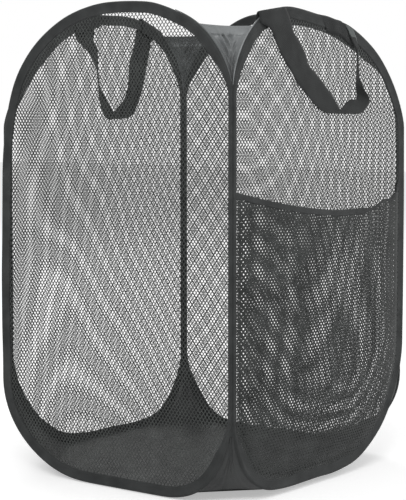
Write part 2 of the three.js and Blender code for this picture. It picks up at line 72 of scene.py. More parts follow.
# Stitches: length, pitch, width and height
TAPE_STITCH = (2.5, 3.3, 0.55, 0.4)
HEM_STITCH = (2.2, 3.0, 0.5, 0.35)
STITCH_INSET, SEAM_STITCH_INSET = 11.1, 3.6
STITCH_OUT = 1.02

# Nets: spacing of the holes across and up, a hole's length, and the yarn's width between holes
PITCH, ROW, POINT = 5.1, 3.37, 6.2
NET_STRAND, POCKET_STRAND = 1.08, 2.5
NET_INSET, SEAM_NET_INSET = 7.5, 2.7
POCKET_FULLNESS = 14

# Gussets and bottom cloth: their edges, and how far past the tape's inner face they lie when folded
CLOTH_FACE = HALF_SIDE + 1.2
CLOTH_INSET = 1.5
CLOTH_LEVEL, CLOTH_EDGE, CLOTH_MIDDLE = 12.0, 11.5, 3.2
FRONT_HEM, BACK_HEM, TOP_POINT = HEIGHT - 24, HEIGHT - 18.5, HEIGHT - 97
BASE_FOOT, TIGHT_BASE_TOP, WIDE_BASE_TOP = 11, 84, 104
LAYER_GAP = 0.9
OPENED_DEPTH, CLOSED_DEPTH = 1.6, 0.7

# Straps, and the line on which the handles swing
STRAP_THICKNESS = 1.5
RIM_HINGE = 527.3

# Corners of the loops: reach across as a share of half the side, rise, squareness
HANDLE_LOOP = {
    "tight_top": (0.63, 97, 1.96),
    "wide_top": (1.0, 140, 1.46),
    "tight_bottom": (0.92, 109, 3.0),
    "wide_bottom": (0.97, 149, 1.86),
}
PLAIN_LOOP = {
    "tight_top": (0.7, 102, 1.85),
    "wide_top": (1.0, 210, 2.25),
    "tight_bottom": (0.59, 115, 2.42),
    "wide_bottom": (0.87, 113, 2.0),
}

# Where the handles pull the front and back loops in, or let them swell: place, then inward move
HANDLE_PULL = [
    (-120, 558, 0.0), (72, 12, -1.5), (37, 4, 4.5), (-5, 0, 7.0), (-47, 0, 6.0), (-87, 1, 3.0),
    (-114, 6, 0.0), (-174, 110, 0.0), (-174, 440, 0.0),
]
FRONT_PULL = HANDLE_PULL + [
    (88, 521, -1.5), (-51, 558, 4.0), (-11, 558, 9.7), (8, 555, 11.6), (24, 552, 10.2),
    (44, 545, 4.4), (61, 536, 2.1), (112, 508, -4.5), (136, 485, -4.5), (158, 460, -3.0),
    (172, 430, -1.0), (174, 400, -1.5), (174, 330, -2.6), (174, 200, -2.6), (174, 160, -2.0),
    (160, 90, -1.5), (132, 50, -4.0),
]
BACK_PULL = HANDLE_PULL + [
    (-84, 558, 0.0), (-51, 558, -3.0), (-11, 558, -2.4), (24, 552, -2.4), (61, 536, -5.0),
    (78, 527, -4.6), (92, 519, -3.0), (112, 508, -1.5), (136, 485, 0.0), (158, 460, 2.0),
    (172, 430, 3.5), (174, 400, 3.5), (174, 330, 2.5), (174, 180, 2.6), (174, 150, 1.5),
    (160, 90, -1.0), (132, 50, -2.0),
]
PLAIN_PULL = [
    (-130, 533, -1.0), (0, 558, -4.0), (44, 554, -1.0), (90, 535, 0.0), (60, 4, -2.0), (34, 0, 0.0),
    (-58, 0, 0.0), (-130, 15, 0.0), (-174, 110, 0.0), (-174, 440, 0.0),
]
LEFT_PULL = PLAIN_PULL + [
    (-90, 552, 0.5), (-60, 557, -2.0), (-30, 558, -4.0), (125, 508, -2.0), (150, 475, -3.5),
    (165, 436, -1.0), (172, 400, 0.5), (174, 355, 0.5), (174, 283, -1.0), (174, 240, -2.5),
    (174, 172, -2.5), (172, 135, -1.5), (170, 80, -2.0), (125, 30, -2.5), (86, 10, -3.0),
]
RIGHT_PULL = PLAIN_PULL + [
    (-105, 547, 0.3), (-88, 553, -2.9), (-72, 556, -4.4), (-54, 557, -6.8), (-30, 558, -6.8),
    (125, 508, -4.0), (150, 475, -7.5), (165, 436, -7.0), (172, 400, -1.0), (174, 340, 2.6),
    (174, 180, 2.6), (174, 150, 1.5), (170, 80, -2.0), (125, 30, -1.5), (86, 10, -1.0),
]


# Small helpers


def to_metres(points):
    return np.asarray(points, float) * MM


def add_object(name, data):
    made = bpy.data.objects.new(name, data)
    bpy.context.scene.collection.objects.link(made)
    return made


def make_mesh(name, points, faces, material, uv=None):
    """A mesh object from points in millimetres, faces and, for each face corner, a UV in millimetres."""
    data = bpy.data.meshes.new(name)
    data.from_pydata(to_metres(points).tolist(), [], [list(map(int, face)) for face in faces])
    if uv is not None:
        layer = data.uv_layers.new(name="weave")
        layer.data.foreach_set("uv", (np.asarray(uv, float) * MM).astype(np.float32).ravel())
    data.polygons.foreach_set("use_smooth", np.ones(len(data.polygons), dtype=bool))
    data.materials.append(material)
    data.update()
    return add_object(name, data)


def attach(piece, body, node=None):
    """Lets a piece ride on a body, and stand for a node of the solids."""
    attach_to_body(piece, body)
    if node:
        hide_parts(node)
    return piece


def grid_faces(rows, columns, close_rows=False, close_columns=False):
    """Faces and their unwrapped row and column numbers for a grid that may close on itself."""
    row_count = rows if close_rows else rows - 1
    column_count = columns if close_columns else columns - 1
    row, column = np.meshgrid(np.arange(row_count), np.arange(column_count), indexing="ij")
    row, column = row.ravel(), column.ravel()
    corner_rows = np.stack([row, row, row + 1, row + 1], 1)
    corner_columns = np.stack([column, column + 1, column + 1, column], 1)
    faces = (corner_rows % rows) * columns + corner_columns % columns
    return faces, corner_rows, corner_columns


def grid_piece(name, grid, material, along, across, close_rows=False, close_columns=False):
    """A surface from a grid of points; along and across give the cloth's own coordinates."""
    rows, columns = grid.shape[:2]
    faces, corner_rows, corner_columns = grid_faces(rows, columns, close_rows, close_columns)
    uv = np.stack([np.asarray(along)[corner_rows], np.asarray(across)[corner_columns]], -1)
    return make_mesh(name, grid.reshape(-1, 3), faces, material, uv.reshape(-1, 2))


def smooth_noise(values, seed, scales, period=None):
    """A sum of sine waves with fixed random phases, from -1 to 1; with a period it closes on itself."""
    rng = np.random.default_rng(seed)
    total = np.zeros_like(np.asarray(values, float))
    weight = 0.0
    for scale in scales:
        for part in range(3):
            length = scale * (0.8 + 0.2 * part)
            if period is not None:
                length = period / max(1, round(period / length))
            size = 0.6 + 0.4 * rng.random()
            total += size * np.sin(2 * np.pi * (np.asarray(values) / length + rng.random()))
            weight += size
    return total / weight


def catmull(points, count):
    """A smooth curve through points, at even steps of their order."""
    points = np.asarray(points, float)
    first, last = 2 * points[0] - points[1], 2 * points[-1] - points[-2]
    line = np.concatenate([[first], points, [last]])
    places = np.linspace(0, len(points) - 1, count)
    index = np.minimum(places.astype(int), len(points) - 2)
    t = (places - index)[:, None]
    a, b, c, d = line[index], line[index + 1], line[index + 2], line[index + 3]
    return 0.5 * (2 * b + (c - a) * t + (2 * a - 5 * b + 4 * c - d) * t**2 + (3 * b - a - 3 * c + d) * t**3)


def plane_noise(x, z, seed, scale):
    """Smooth noise over a plane, from about -1 to 1."""
    rng = np.random.default_rng(seed)
    total = np.zeros(np.broadcast(x, z).shape)
    waves = 9
    for _ in range(waves):
        angle = rng.random() * np.pi
        length = scale * (0.6 + 0.9 * rng.random())
        phase = rng.random() * 2 * np.pi
        total += np.sin(2 * np.pi * (x * np.cos(angle) + z * np.sin(angle)) / length + phase)
    return total / waves * 1.8


def fade(value, start, end):
    """0 below start, 1 above end, smooth between."""
    share = np.clip((np.asarray(value, float) - start) / (end - start), 0, 1)
    return share * share * (3 - 2 * share)


def unit(vectors):
    return vectors / np.linalg.norm(vectors, axis=-1, keepdims=True)


def turned(points, quarter_turns):
    """Points of the front side, turned about the upright axis to another side."""
    points = np.asarray(points, float)
    cosine, sine = [(1, 0), (0, 1), (-1, 0), (0, -1)][quarter_turns % 4]
    x = points[..., 0] * cosine - points[..., 1] * sine
    y = points[..., 0] * sine + points[..., 1] * cosine
    return np.stack([x, y, points[..., 2]], -1)


# Outline of the loops


def corner_points(corner, level, facing, steps=60):
    share, rise, power = corner
    width = share * HALF_WIDTH
    turn = np.linspace(0, np.pi / 2, steps)
    across = np.sin(turn) ** (2 / power)
    along = np.cos(turn) ** (2 / power)
    return np.stack([HALF_WIDTH - width + width * across, level + facing * rise * (along - 1)], 1)


def plain_outline(loop):
    """The loop's outline, counter-clockwise seen from outside, from the middle of the base."""
    right = np.concatenate([
        corner_points(loop["wide_bottom"], 0, -1),
        corner_points(loop["wide_top"], HEIGHT, 1)[::-1],
    ])
    left = np.concatenate([
        corner_points(loop["tight_bottom"], 0, -1),
        corner_points(loop["tight_top"], HEIGHT, 1)[::-1],
    ])
    left[:, 0] *= -1
    return np.concatenate([right, left[::-1]])


def lengths_along(points, closed=True):
    ends = np.roll(points, -1, 0) if closed else points[1:]
    starts = points if closed else points[:-1]
    return np.concatenate([[0], np.cumsum(np.linalg.norm(ends - starts, axis=1))])


def sampled(line, along, places):
    """Points of a line at places measured along it."""
    return np.stack([np.interp(places, along, line[:, k]) for k in range(line.shape[1])], -1)


def respaced(points, step):
    """The same closed line with points at even distances."""
    along = lengths_along(points)
    count = max(8, int(round(along[-1] / step)))
    places = np.linspace(0, along[-1], count, endpoint=False)
    return sampled(np.concatenate([points, points[:1]]), along, places)


def rolled_mean(values, reach):
    """Running mean round a closed line."""
    total = np.zeros_like(values)
    for shift in range(-reach, reach + 1):
        total += np.roll(values, shift, 0)
    return total / (2 * reach + 1)


def inward(points, reach=2):
    """Directions into a counter-clockwise outline."""
    ahead, behind = np.roll(points, -1, 0), np.roll(points, 1, 0)
    direction = unit(rolled_mean(ahead - behind, reach))
    return np.stack([-direction[:, 1], direction[:, 0]], 1)


def pulled_outline(loop, pulls, step=3.0):
    """The loop's outline with its pulls, and the directions into it."""
    points = respaced(plain_outline(loop), step)
    count = len(points)
    places, moves = [], []
    for x, z, move in pulls:
        places.append(int(np.hypot(points[:, 0] - x, points[:, 1] - z).argmin()))
        moves.append(move)
    order = np.argsort(places)
    places, moves = np.array(places)[order], np.array(moves)[order]
    shifts = np.interp(
        np.arange(count),
        np.concatenate([[places[-1] - count], places, [places[0] + count]]),
        np.concatenate([[moves[-1]], moves, [moves[0]]]),
    )
    shifts = rolled_mean(shifts[:, None], 5)
    points = points + inward(points) * shifts
    points = rolled_mean(points, 1)
    return points, inward(points)


def inside(x, z, polygon):
    """Which places lie in a polygon."""
    found = np.zeros(np.shape(x), dtype=bool)
    for (ax, az), (bx, bz) in zip(polygon, np.roll(polygon, -1, 0)):
        if az == bz:
            continue
        crosses = (az > z) != (bz > z)
        found ^= crosses & (x < (bx - ax) * (z - az) / (bz - az) + ax)
    return found


def seam_share(x, z):
    """1 along the narrow upright seam, 0 elsewhere, in the loop's own plane."""
    ends = np.maximum(fade(z, 452, 512), fade(z, 96, 46))
    return fade(-np.asarray(x, float), 100, 150) * (1 - ends)


def between(full, seam, share):
    return full + (seam - full) * share


def plane_shift(x, z):
    """How far the narrow seam's tape and net lie inside the mid plane."""
    return SEAM_PLANE_SHIFT * seam_share(x, z) * fade(-np.asarray(x, float), 135, 170)


class Side:
    """One side: its quarter turns from the front, its loop, and whether it is drawn mirrored, which
    puts its tight corners on the right."""

    def __init__(self, name, quarter_turns, loop, pulls, flipped):
        self.name, self.body = name, f"{name}_side"
        self.quarter_turns, self.flipped = quarter_turns, flipped
        self.points, self.directions = pulled_outline(loop, pulls)
        self.narrow = seam_share(*self.points.T)

    def moved_in(self, inset):
        """The loop's points, moved in."""
        return self.points + self.directions * inset[:, None]

    def place(self, x, z, out):
        """Places of the side's plane, as points of the hamper; out is measured from the mid plane."""
        x = -np.asarray(x, float) if self.flipped else np.asarray(x, float)
        points = np.stack(np.broadcast_arrays(x, -MID_PLANE - np.asarray(out, float), z), -1)
        return turned(points, self.quarter_turns)

    def half_width(self, z, left):
        """How far the loop reaches to one side at heights z."""
        part = self.points[(self.points[:, 0] < 0) == left]
        part = part[np.argsort(part[:, 1])]
        return np.interp(z, part[:, 1], np.abs(part[:, 0]))

    def edge_height(self, x, upper):
        """Height of the loop's top or base at places x."""
        part = self.points[(self.points[:, 1] > HEIGHT / 2) == upper]
        part = part[np.argsort(part[:, 0])]
        return np.interp(x, part[:, 0], part[:, 1])


FRONT = Side("front", 0, HANDLE_LOOP, FRONT_PULL, False)
RIGHT = Side("right", 1, PLAIN_LOOP, RIGHT_PULL, True)
BACK = Side("back", 2, HANDLE_LOOP, BACK_PULL, False)
LEFT = Side("left", 3, PLAIN_LOOP, LEFT_PULL, True)
SIDES = (FRONT, RIGHT, BACK, LEFT)

# The corners: name, quarter turns, the two sides, whether it is tight, whether one strip joins them
CORNERS = [
    ("front_left", 0, LEFT, FRONT, True, True),
    ("front_right", 1, FRONT, RIGHT, False, True),
    ("back_right", 2, RIGHT, BACK, True, False),
    ("back_left", 3, BACK, LEFT, False, True),
]


# Materials

BLACK, WHITE = (0, 0, 0, 1), (1, 1, 1, 1)


def grey(level):
    return (level, level, level, 1)


def srgb(*levels):
    """A colour from 0 to 255 levels, as the shader takes it."""
    values = [level / 255 for level in levels]
    return tuple(v / 12.92 if v <= 0.04045 else ((v + 0.055) / 1.055) ** 2.4 for v in values) + (1.0,)


class Nodes:
    """A node tree, with short calls for what is done to it."""

    def __init__(self, owner):
        owner.use_nodes = True
        self.tree = owner.node_tree

    def node(self, kind, **values):
        node = self.tree.nodes.new(kind)
        for key, value in values.items():
            setattr(node, key, value)
        return node

    def link(self, output, target):
        self.tree.links.new(output, target)

    def fill(self, sockets, values):
        """Links the values that are outputs, and sets the others."""
        for socket, value in zip(sockets, values):
            if hasattr(value, "is_output"):
                self.link(value, socket)
            else:
                socket.default_value = value

    def math(self, operation, first, second=0.0):
        node = self.node("ShaderNodeMath", operation=operation)
        self.fill(node.inputs, (first, second))
        return node.outputs[0]

    def seen(self):
        """1 for what the camera sees, straight or through something clear, 0 for other light."""
        path = self.node("ShaderNodeLightPath").outputs
        return self.math("MAXIMUM", path["Is Camera Ray"], path["Is Transmission Ray"])


class Shader(Nodes):
    """A material, with short calls for the nodes used here."""

    def __init__(self, name, roughness, metallic=0.0, sheen=0.0, specular=0.5):
        self.material = bpy.data.materials.new(name)
        super().__init__(self.material)
        self.surface = self.tree.nodes["Principled BSDF"]
        sockets = [self.surface.inputs[key]
                   for key in ("Roughness", "Metallic", "Sheen Weight", "Specular IOR Level")]
        self.fill(sockets, (roughness, metallic, sheen, specular))

    def scaled(self, value, factor, offset):
        return self.math("ADD", self.math("MULTIPLY", value, factor), offset)

    def coordinates(self, kind):
        return self.node("ShaderNodeTexCoord").outputs[kind]

    def cloth_axes(self):
        """The cloth's own coordinates, along and across."""
        parts = self.node("ShaderNodeSeparateXYZ")
        self.link(self.coordinates("UV"), parts.inputs[0])
        return parts.outputs[0], parts.outputs[1]

    def noise(self, scale, detail, roughness=0.5):
        node = self.node("ShaderNodeTexNoise")
        sockets = [node.inputs[key] for key in ("Vector", "Scale", "Detail", "Roughness")]
        self.fill(sockets, (self.coordinates("Object"), scale, detail, roughness))
        return node.outputs["Fac"]

    def ramp(self, value, *stops):
        node = self.node("ShaderNodeValToRGB")
        elements = node.color_ramp.elements
        while len(elements) < len(stops):
            elements.new(0.5)
        for element, (place, colour) in zip(elements, stops):
            element.position = place
            element.color = colour
        self.link(value, node.inputs["Fac"])
        return node.outputs["Color"]

    def mix(self, share, first, second, blend="MIX"):
        node = self.node("ShaderNodeMix", data_type="RGBA", blend_type=blend)
        self.fill((node.inputs[0], node.inputs[6], node.inputs[7]), (share, first, second))
        return node.outputs[2]

    def patchy(self, scale, detail, edge, dark, light):
        """Slow changes between two tones, each given as levels from 0 to 255."""
        share = self.ramp(self.noise(scale, detail), (edge, BLACK), (1 - edge, WHITE))
        return self.mix(share, srgb(*dark), srgb(*light))

    def shaded(self, share, colour, value, *stops):
        """A colour darkened by a ramp over a value."""
        return self.mix(share, colour, self.ramp(value, *stops), "MULTIPLY")

    def bump(self, height, distance, strength, normal=None):
        node = self.node("ShaderNodeBump")
        sockets = [node.inputs[key] for key in ("Height", "Distance", "Strength")]
        self.fill(sockets, (height, distance, strength))
        if normal is not None:
            self.link(normal, node.inputs["Normal"])
        return node.outputs["Normal"]

    def finish(self, colour, normal, roughness):
        for output, key in ((colour, "Base Color"), (normal, "Normal"), (roughness, "Roughness")):
            self.link(output, self.surface.inputs[key])
        return self.material


def weave_height(shader, *pitches):
    """Height of a plain weave: humps in a chequer along the cloth's own coordinates, from 0 to 1."""
    waves = []
    for axis, pitch in zip(shader.cloth_axes(), pitches):
        waves.append(shader.math("SINE", shader.math("MULTIPLY", axis, 2 * math.pi / pitch)))
    return shader.scaled(shader.math("MULTIPLY", *waves), 0.5, 0.5)


def woven(name, dark, light, pitch_along, pitch_across, depth, roughness, sheen, specular=0.4):
    """Woven tape or webbing: a plain weave with painted shade in its hollows, slow changes of tone and a
    little fluff.
    """
    shader = Shader(name, roughness, sheen=sheen, specular=specular)
    weave = weave_height(shader, pitch_along, pitch_across)
    colour = shader.patchy(45, 3, 0.3, dark, light)
    # Painted shade: darker where the weave's height is low, in its hollows.
    colour = shader.shaded(0.8, colour, weave, (0.0, grey(0.62)), (0.8, WHITE))
    rough = shader.scaled(shader.noise(120, 2), 0.2, roughness - 0.1)
    fibre = shader.bump(shader.noise(2600, 2), 0.00006, 0.5)
    return shader.finish(colour, shader.bump(weave, depth, 0.9, fibre), rough)


def knitted(name, dark, light, sheen=0.25, specular=0.45):
    """Knitted net yarn: twisted filament with a slight gloss, and painted shade in its grooves."""
    shader = Shader(name, 0.5, sheen=sheen, specular=specular)
    filament = shader.noise(1500, 3, 0.65)
    colour = shader.patchy(28, 3, 0.32, dark, light)
    # Painted shade: darker where the filament's bump is low, in the yarn's grooves.
    colour = shader.shaded(0.5, colour, filament, (0.3, grey(0.55)), (0.7, WHITE))
    return shader.finish(colour, shader.bump(filament, 0.0002, 0.7), shader.scaled(filament, 0.25, 0.38))


def nylon(name, dark, light, roughness, crease, sheen=0.1, painted_shade_level=1.0):
    """Thin woven nylon: a fine weave with painted shade in its hollows, small creases, a satin gloss, and
    painted shade that darkens it over its rise towards the point.
    """
    pitch, rise = 0.0009, 0.09
    shader = Shader(name, roughness, sheen=sheen)
    weave = weave_height(shader, pitch, pitch)
    colour = shader.patchy(22, 4, 0.3, dark, light)
    # Painted shade: darker where the weave's height is low, in its hollows.
    colour = shader.shaded(0.35, colour, weave, (0.0, grey(0.7)), (1.0, WHITE))
    # Painted shade: the colour darkens from near the hem towards the gusset's point, down to the given level,
    # where the curved cloth is less lit.
    down = shader.math("MULTIPLY", shader.cloth_axes()[0], 1 / rise)
    colour = shader.shaded(1.0, colour, down, (0.12, WHITE), (0.8, grey(painted_shade_level)))
    creases = shader.bump(shader.noise(70, 5, 0.6), crease, 0.8)
    rough = shader.scaled(shader.noise(60, 3), 0.2, roughness - 0.1)
    return shader.finish(colour, shader.bump(weave, 0.00005, 0.6, creases), rough)


def steel(name):
    """Drawn steel wire with fine lengthwise scratches."""
    shader = Shader(name, 0.35, metallic=1.0)
    scratches = shader.noise(900, 4)
    colour = shader.ramp(shader.noise(60, 3), (0.3, srgb(140, 142, 145)), (0.7, srgb(168, 170, 172)))
    return shader.finish(colour, shader.bump(scratches, 0.00002, 0.4), shader.scaled(scratches, 0.25, 0.22))


TAPE = woven("seam_tape", (45, 47, 47), (62, 64, 64), 0.0011, 0.0016, 0.00016, 0.75, 0.08, 0.25)
WEBBING = woven("webbing", (33, 35, 35), (48, 50, 50), 0.0018, 0.0024, 0.0003, 0.75, 0.1, 0.25)
# Painted highlight: a lighter copy of the webbing, for the strap's lit face where it turns at the rim.
WEBBING_HIGHLIGHT = woven("webbing_highlight", (88, 93, 92), (106, 111, 110), 0.0018, 0.0024, 0.0003, 0.7,
                        0.12, 0.3)
THREAD = woven("thread", (52, 54, 54), (70, 72, 72), 0.0006, 0.0006, 0.0001, 0.6, 0.1, 0.3)
# Painted highlight: light tubes along the rims' edges at the top gussets, brighter on the front and back,
# dimmer on the left and right. The hem stitches also use the brighter colour.
LIGHT_THREAD_AND_HIGHLIGHT = woven("piping", (118, 121, 122), (146, 149, 150), 0.0008, 0.0008, 0.0001, 0.45, 0.2)
DIM_EDGE_HIGHLIGHT = woven("dim_edge_highlight", (84, 87, 88), (104, 107, 108), 0.0008, 0.0008, 0.0001, 0.45, 0.15)
NET = knitted("side_net", (40, 43, 42), (66, 70, 68))
POCKET_NET = knitted("pocket_net_cloth", (30, 33, 32), (52, 55, 54), 0.12, 0.3)
# The last number of each grey nylon is how dark its painted shade gets towards the point.
GREY_NYLON = nylon("grey_nylon", (94, 97, 98), (128, 131, 132), 0.36, 0.0012, 0.15, 0.45)
BACK_NYLON = nylon("back_nylon", (88, 91, 92), (120, 123, 124), 0.36, 0.0012, 0.15, 0.85)
DARK_NYLON = nylon("dark_nylon", (42, 44, 44), (58, 60, 60), 0.5, 0.0005)
STEEL = steel("drawn_steel")


# Camera: a long lens, from the front left corner and a little below the rims' height


def make_camera():
    """The camera's focal length and shifts are in pixels of a picture of the given height."""
    focal_pixels, picture_height = 1670.0, 500.0
    shift_right, shift_up = -5.4, -7.9
    yaw, pitch = 0.9089, 0.082
    place = Vector((-1621.57, -1268.54, 444.64)) * MM
    forward = Vector((math.sin(yaw) * math.cos(pitch), math.cos(yaw) * math.cos(pitch), -math.sin(pitch)))
    across = Vector((math.cos(yaw), -math.sin(yaw), 0))
    up = across.cross(forward)
    data = bpy.data.cameras.new("camera")
    data.sensor_fit = "VERTICAL"
    data.sensor_height = 36.0
    data.lens = focal_pixels / picture_height * data.sensor_height
    data.shift_x = shift_right / picture_height
    data.shift_y = shift_up / picture_height
    camera = add_object("camera", data)
    camera.matrix_world = Matrix.Translation(place) @ Matrix((across, up, -forward)).transposed().to_4x4()
    bpy.context.scene.camera = camera


# Bindings: a tape folded over the wire and the edge of the net


def tape_profile():
    """Section of the tape as shares: along the lip, and round the fold as cosine and sine parts."""
    lip = [(1.0, 0.13), (0.99, 0.36), (0.93, 0.42), (0.82, 0.37), (0.66, 0.42), (0.46, 0.5), (0.28, 0.64)]
    rows = [(share, 0.0, out) for share, out in lip]
    for step in range(9):
        angle = math.radians(55 + step * (250 / 8))
        rows.append((0.0, math.cos(angle), math.sin(angle)))
    rows += [(share, 0.0, -out) for share, out in lip[::-1]]
    return np.array(rows)


def pucker(along, total, seed):
    """How the sewn lips ripple along the tape."""
    wave = smooth_noise(along, seed, (9, 14, 31), total)
    return 0.55 * wave + 0.45 * np.abs(smooth_noise(along, seed + 7, (17, 43), total))


def right_wide_seam(side):
    """1 along the right side's wide upright seam, where its tape shows narrower, 0 elsewhere."""
    return fade(side.points[:, 0], 120, 150) * (side is RIGHT)


def binding(side, seed):
    """The tape, folded over the side's edge, with its lips a little rippled."""
    along = lengths_along(side.points)
    starts, total = along[:-1], along[-1]
    lip, cosine, sine = tape_profile().T
    narrow = side.narrow[:, None]
    radius = between(FULL_FOLD, SEAM_FOLD, narrow)
    fold_inset = between(FOLD_RADIUS, SEAM_FOLD_INSET, narrow)
    reach = between(TAPE_WIDTH, SEAM_TAPE, narrow) - fold_inset
    reach = reach - RIGHT_TAPE_LOSS * right_wide_seam(side)[:, None]
    lip_share = fade(lip, 0.15, 0.95) * between(1.0, 0.45, narrow)
    ripple = pucker(starts, total, seed)[:, None]
    slip = smooth_noise(starts, seed + 3, (26, 60), total)[:, None]
    tight = smooth_noise(starts, seed + 5, (5, 7.5), total)[:, None]
    inset = fold_inset + radius * cosine + reach * lip + lip_share * (0.35 * slip + 0.18 * ripple)
    out = radius * sine + lip_share * 0.35 * ripple + np.sign(sine) * (0.10 * tight + 0.12 * lip_share * slip)
    out = out + SEAM_PLANE_SHIFT * narrow
    x, z = (side.points[:, k, None] + side.directions[:, k, None] * inset for k in (0, 1))
    section = np.stack([FULL_FOLD * cosine + (TAPE_WIDTH - FOLD_RADIUS) * lip, FULL_FOLD * sine], 1)
    grid = side.place(x, z, out)
    piece = grid_piece(f"{side.name}_tape", grid, TAPE, along, lengths_along(section), True, True)
    attach(piece, side.body, f"{side.name}_binding")


def tube(name, line, radii, material, closed=False, sides=10):
    """A round tube along a line of points, with a radius at each point."""
    ahead = unit(np.roll(line, -1, 0) - np.roll(line, 1, 0) if closed else np.gradient(line, axis=0))
    least = np.argmin(np.abs(ahead).max(0))
    first = unit(np.cross(ahead, np.eye(3)[least]))
    second = np.cross(ahead, first)
    angle = np.arange(sides) * 2 * np.pi / sides
    ring = first[:, None] * np.cos(angle)[None, :, None] + second[:, None] * np.sin(angle)[None, :, None]
    grid = line[:, None] + ring * np.broadcast_to(radii, len(line))[:, None, None]
    along = lengths_along(line, closed)
    across = np.linspace(0, 2 * np.pi * float(np.max(radii)), sides + 1)
    return grid_piece(name, grid, material, along, across, closed, True)


def wire(side):
    """The spring wire inside the fold, and the crimped sleeve that joins its ends at the base."""
    middle = side.moved_in(between(FOLD_RADIUS, SEAM_FOLD_INSET, side.narrow))
    line = side.place(*middle.T, SEAM_PLANE_SHIFT * side.narrow)
    piece = tube(f"{side.name}_wire", line, WIRE_RADIUS, STEEL, True)
    attach(piece, side.body, f"{side.name}_spring_wire")
    base = int(np.hypot(*side.points.T).argmin())
    stretch = np.take(line, np.arange(base - 4, base + 5), 0, mode="wrap")
    shares = np.linspace(0, 1, 41)
    fine = sampled(stretch, np.arange(len(stretch)), shares * (len(stretch) - 1))
    radii = SLEEVE_RADIUS - SLEEVE_PINCH * np.clip(np.sin(shares * np.pi * 6), 0, 1)
    sleeve = tube(f"{side.name}_sleeve", fine, radii, STEEL)
    attach(sleeve, side.body, f"{side.name}_crimp_sleeve")


def stitch_run(line, outward, length, pitch, width, height):
    """Small raised stitches along an open line; outward is the way they stand up."""
    along = lengths_along(line, closed=False)
    up = unit(np.asarray(outward))
    shares = np.linspace(0, 1, 5)
    swell = np.sin(np.pi * np.clip(shares, 0.04, 0.96))[:, None] ** 0.6
    points, faces = [], []
    for start in np.arange(pitch / 2, along[-1] - length, pitch):
        places = start + length * shares
        centre = sampled(line, along, places)
        forward = unit(centre[-1] - centre[0])
        sideways = np.cross(forward, up)
        first = len(points) * 5
        for way, rise in ((-1, 0.0), (-0.6, 0.8), (0.6, 0.8), (1, 0.0)):
            points.append(centre + sideways * way * width / 2 * swell + up * (rise * height * swell - 0.12))
        for lane in range(3):
            for step in range(4):
                a = first + lane * 5 + step
                faces.append((a, a + 1, a + 6, a + 5))
    return np.concatenate(points), np.array(faces)


def stitch_piece(name, runs, material, body):
    """One piece made of several runs of stitches."""
    points = np.concatenate([run for run, _ in runs])
    starts = np.cumsum([0] + [len(run) for run, _ in runs])
    faces = np.concatenate([part + start for (_, part), start in zip(runs, starts)])
    piece = make_mesh(name, points, faces, material, points[faces.ravel()][:, [0, 2]])
    return attach(piece, body)


def binding_stitches(side):
    """The line of stitches along the tape's lips, outside and inside."""
    narrower = (RIGHT_TAPE_LOSS - 0.3) * right_wide_seam(side)
    line = side.moved_in(between(STITCH_INSET, SEAM_STITCH_INSET, side.narrow) - narrower)
    line = np.concatenate([line, line[:1]])
    runs = []
    for out in (STITCH_OUT, -STITCH_OUT):
        height = out * between(1.0, 0.6, side.narrow) + SEAM_PLANE_SHIFT * side.narrow
        places = side.place(*line.T, np.append(height, height[0]))
        facing = side.place(0.0, 0.0, out) - side.place(0.0, 0.0, 0.0)
        runs.append(stitch_run(places, facing, *TAPE_STITCH))
    stitch_piece(f"{side.name}_tape_stitches", runs, THREAD, side.body)


# Net: knitted cloth with staggered, nearly hexagonal holes


def net_cells(low, high, strand, keep, openness):
    """Nodes, hole corners and faces of a net over a rectangle of a plane, kept where asked."""
    rows = int((high[1] - low[1]) / ROW) + 3
    columns = int((high[0] - low[0]) / PITCH) + 3
    j, i = np.meshgrid(np.arange(rows), np.arange(columns), indexing="ij")
    odd = j % 2
    centre_x = low[0] - PITCH + (i + 0.5 * odd) * PITCH
    centre_z = low[1] - ROW + j * ROW
    side = 2 * ROW - POINT
    nodes = np.concatenate([
        np.stack([centre_x, centre_z + tip], -1).reshape(-1, 2) for tip in (POINT / 2, -POINT / 2)
    ])
    count = rows * columns
    number = j * columns + i
    inner = (j > 0) & (j < rows - 1) & (i > 0) & (i < columns - 1)
    chosen = inner & keep(centre_x, centre_z)
    j, i, odd, number = j[chosen], i[chosen], odd[chosen], number[chosen]

    def neighbour(up, right):
        return (j + up) * columns + i + (odd if right else odd - 1)

    ring = np.stack([
        number,
        neighbour(1, False) + count,
        neighbour(-1, False),
        number + count,
        neighbour(-1, True),
        neighbour(1, True) + count,
    ], 1)
    corners = np.array([
        (0, POINT / 2), (-PITCH / 2, side / 2), (-PITCH / 2, -side / 2),
        (0, -POINT / 2), (PITCH / 2, -side / 2), (PITCH / 2, side / 2),
    ])
    hole = shrunk(corners, strand / 2)
    centres = np.stack([centre_x[chosen], centre_z[chosen]], -1)
    holes = centres[:, None, :] + hole[None, :, :] * openness(centres[:, 0])[:, None, None]
    used, where = np.unique(ring, return_inverse=True)
    ring = where.reshape(ring.shape)
    hole_numbers = len(used) + np.arange(len(centres) * 6).reshape(-1, 6)
    following = np.roll(np.arange(6), -1)
    faces = np.stack([hole_numbers, hole_numbers[:, following], ring[:, following], ring], -1)
    flat = np.concatenate([nodes[used], holes.reshape(-1, 2)])
    raised = np.concatenate([np.ones(len(used)), np.zeros(len(centres) * 6)])
    return flat, raised, faces.reshape(-1, 4)


def shrunk(corners, inset):
    """A convex polygon, counter-clockwise, with its edges moved in."""
    result = []
    count = len(corners)
    for index in range(count):
        before, here, after = corners[index - 1], corners[index], corners[(index + 1) % count]
        first, second = unit(here - before), unit(after - here)
        normal_a = np.array([-first[1], first[0]])
        normal_b = np.array([-second[1], second[0]])
        bisector = normal_a + normal_b
        result.append(here + bisector * inset / (1 + normal_a @ normal_b))
    return np.array(result)


def evenly_open(x):
    return np.ones_like(x)


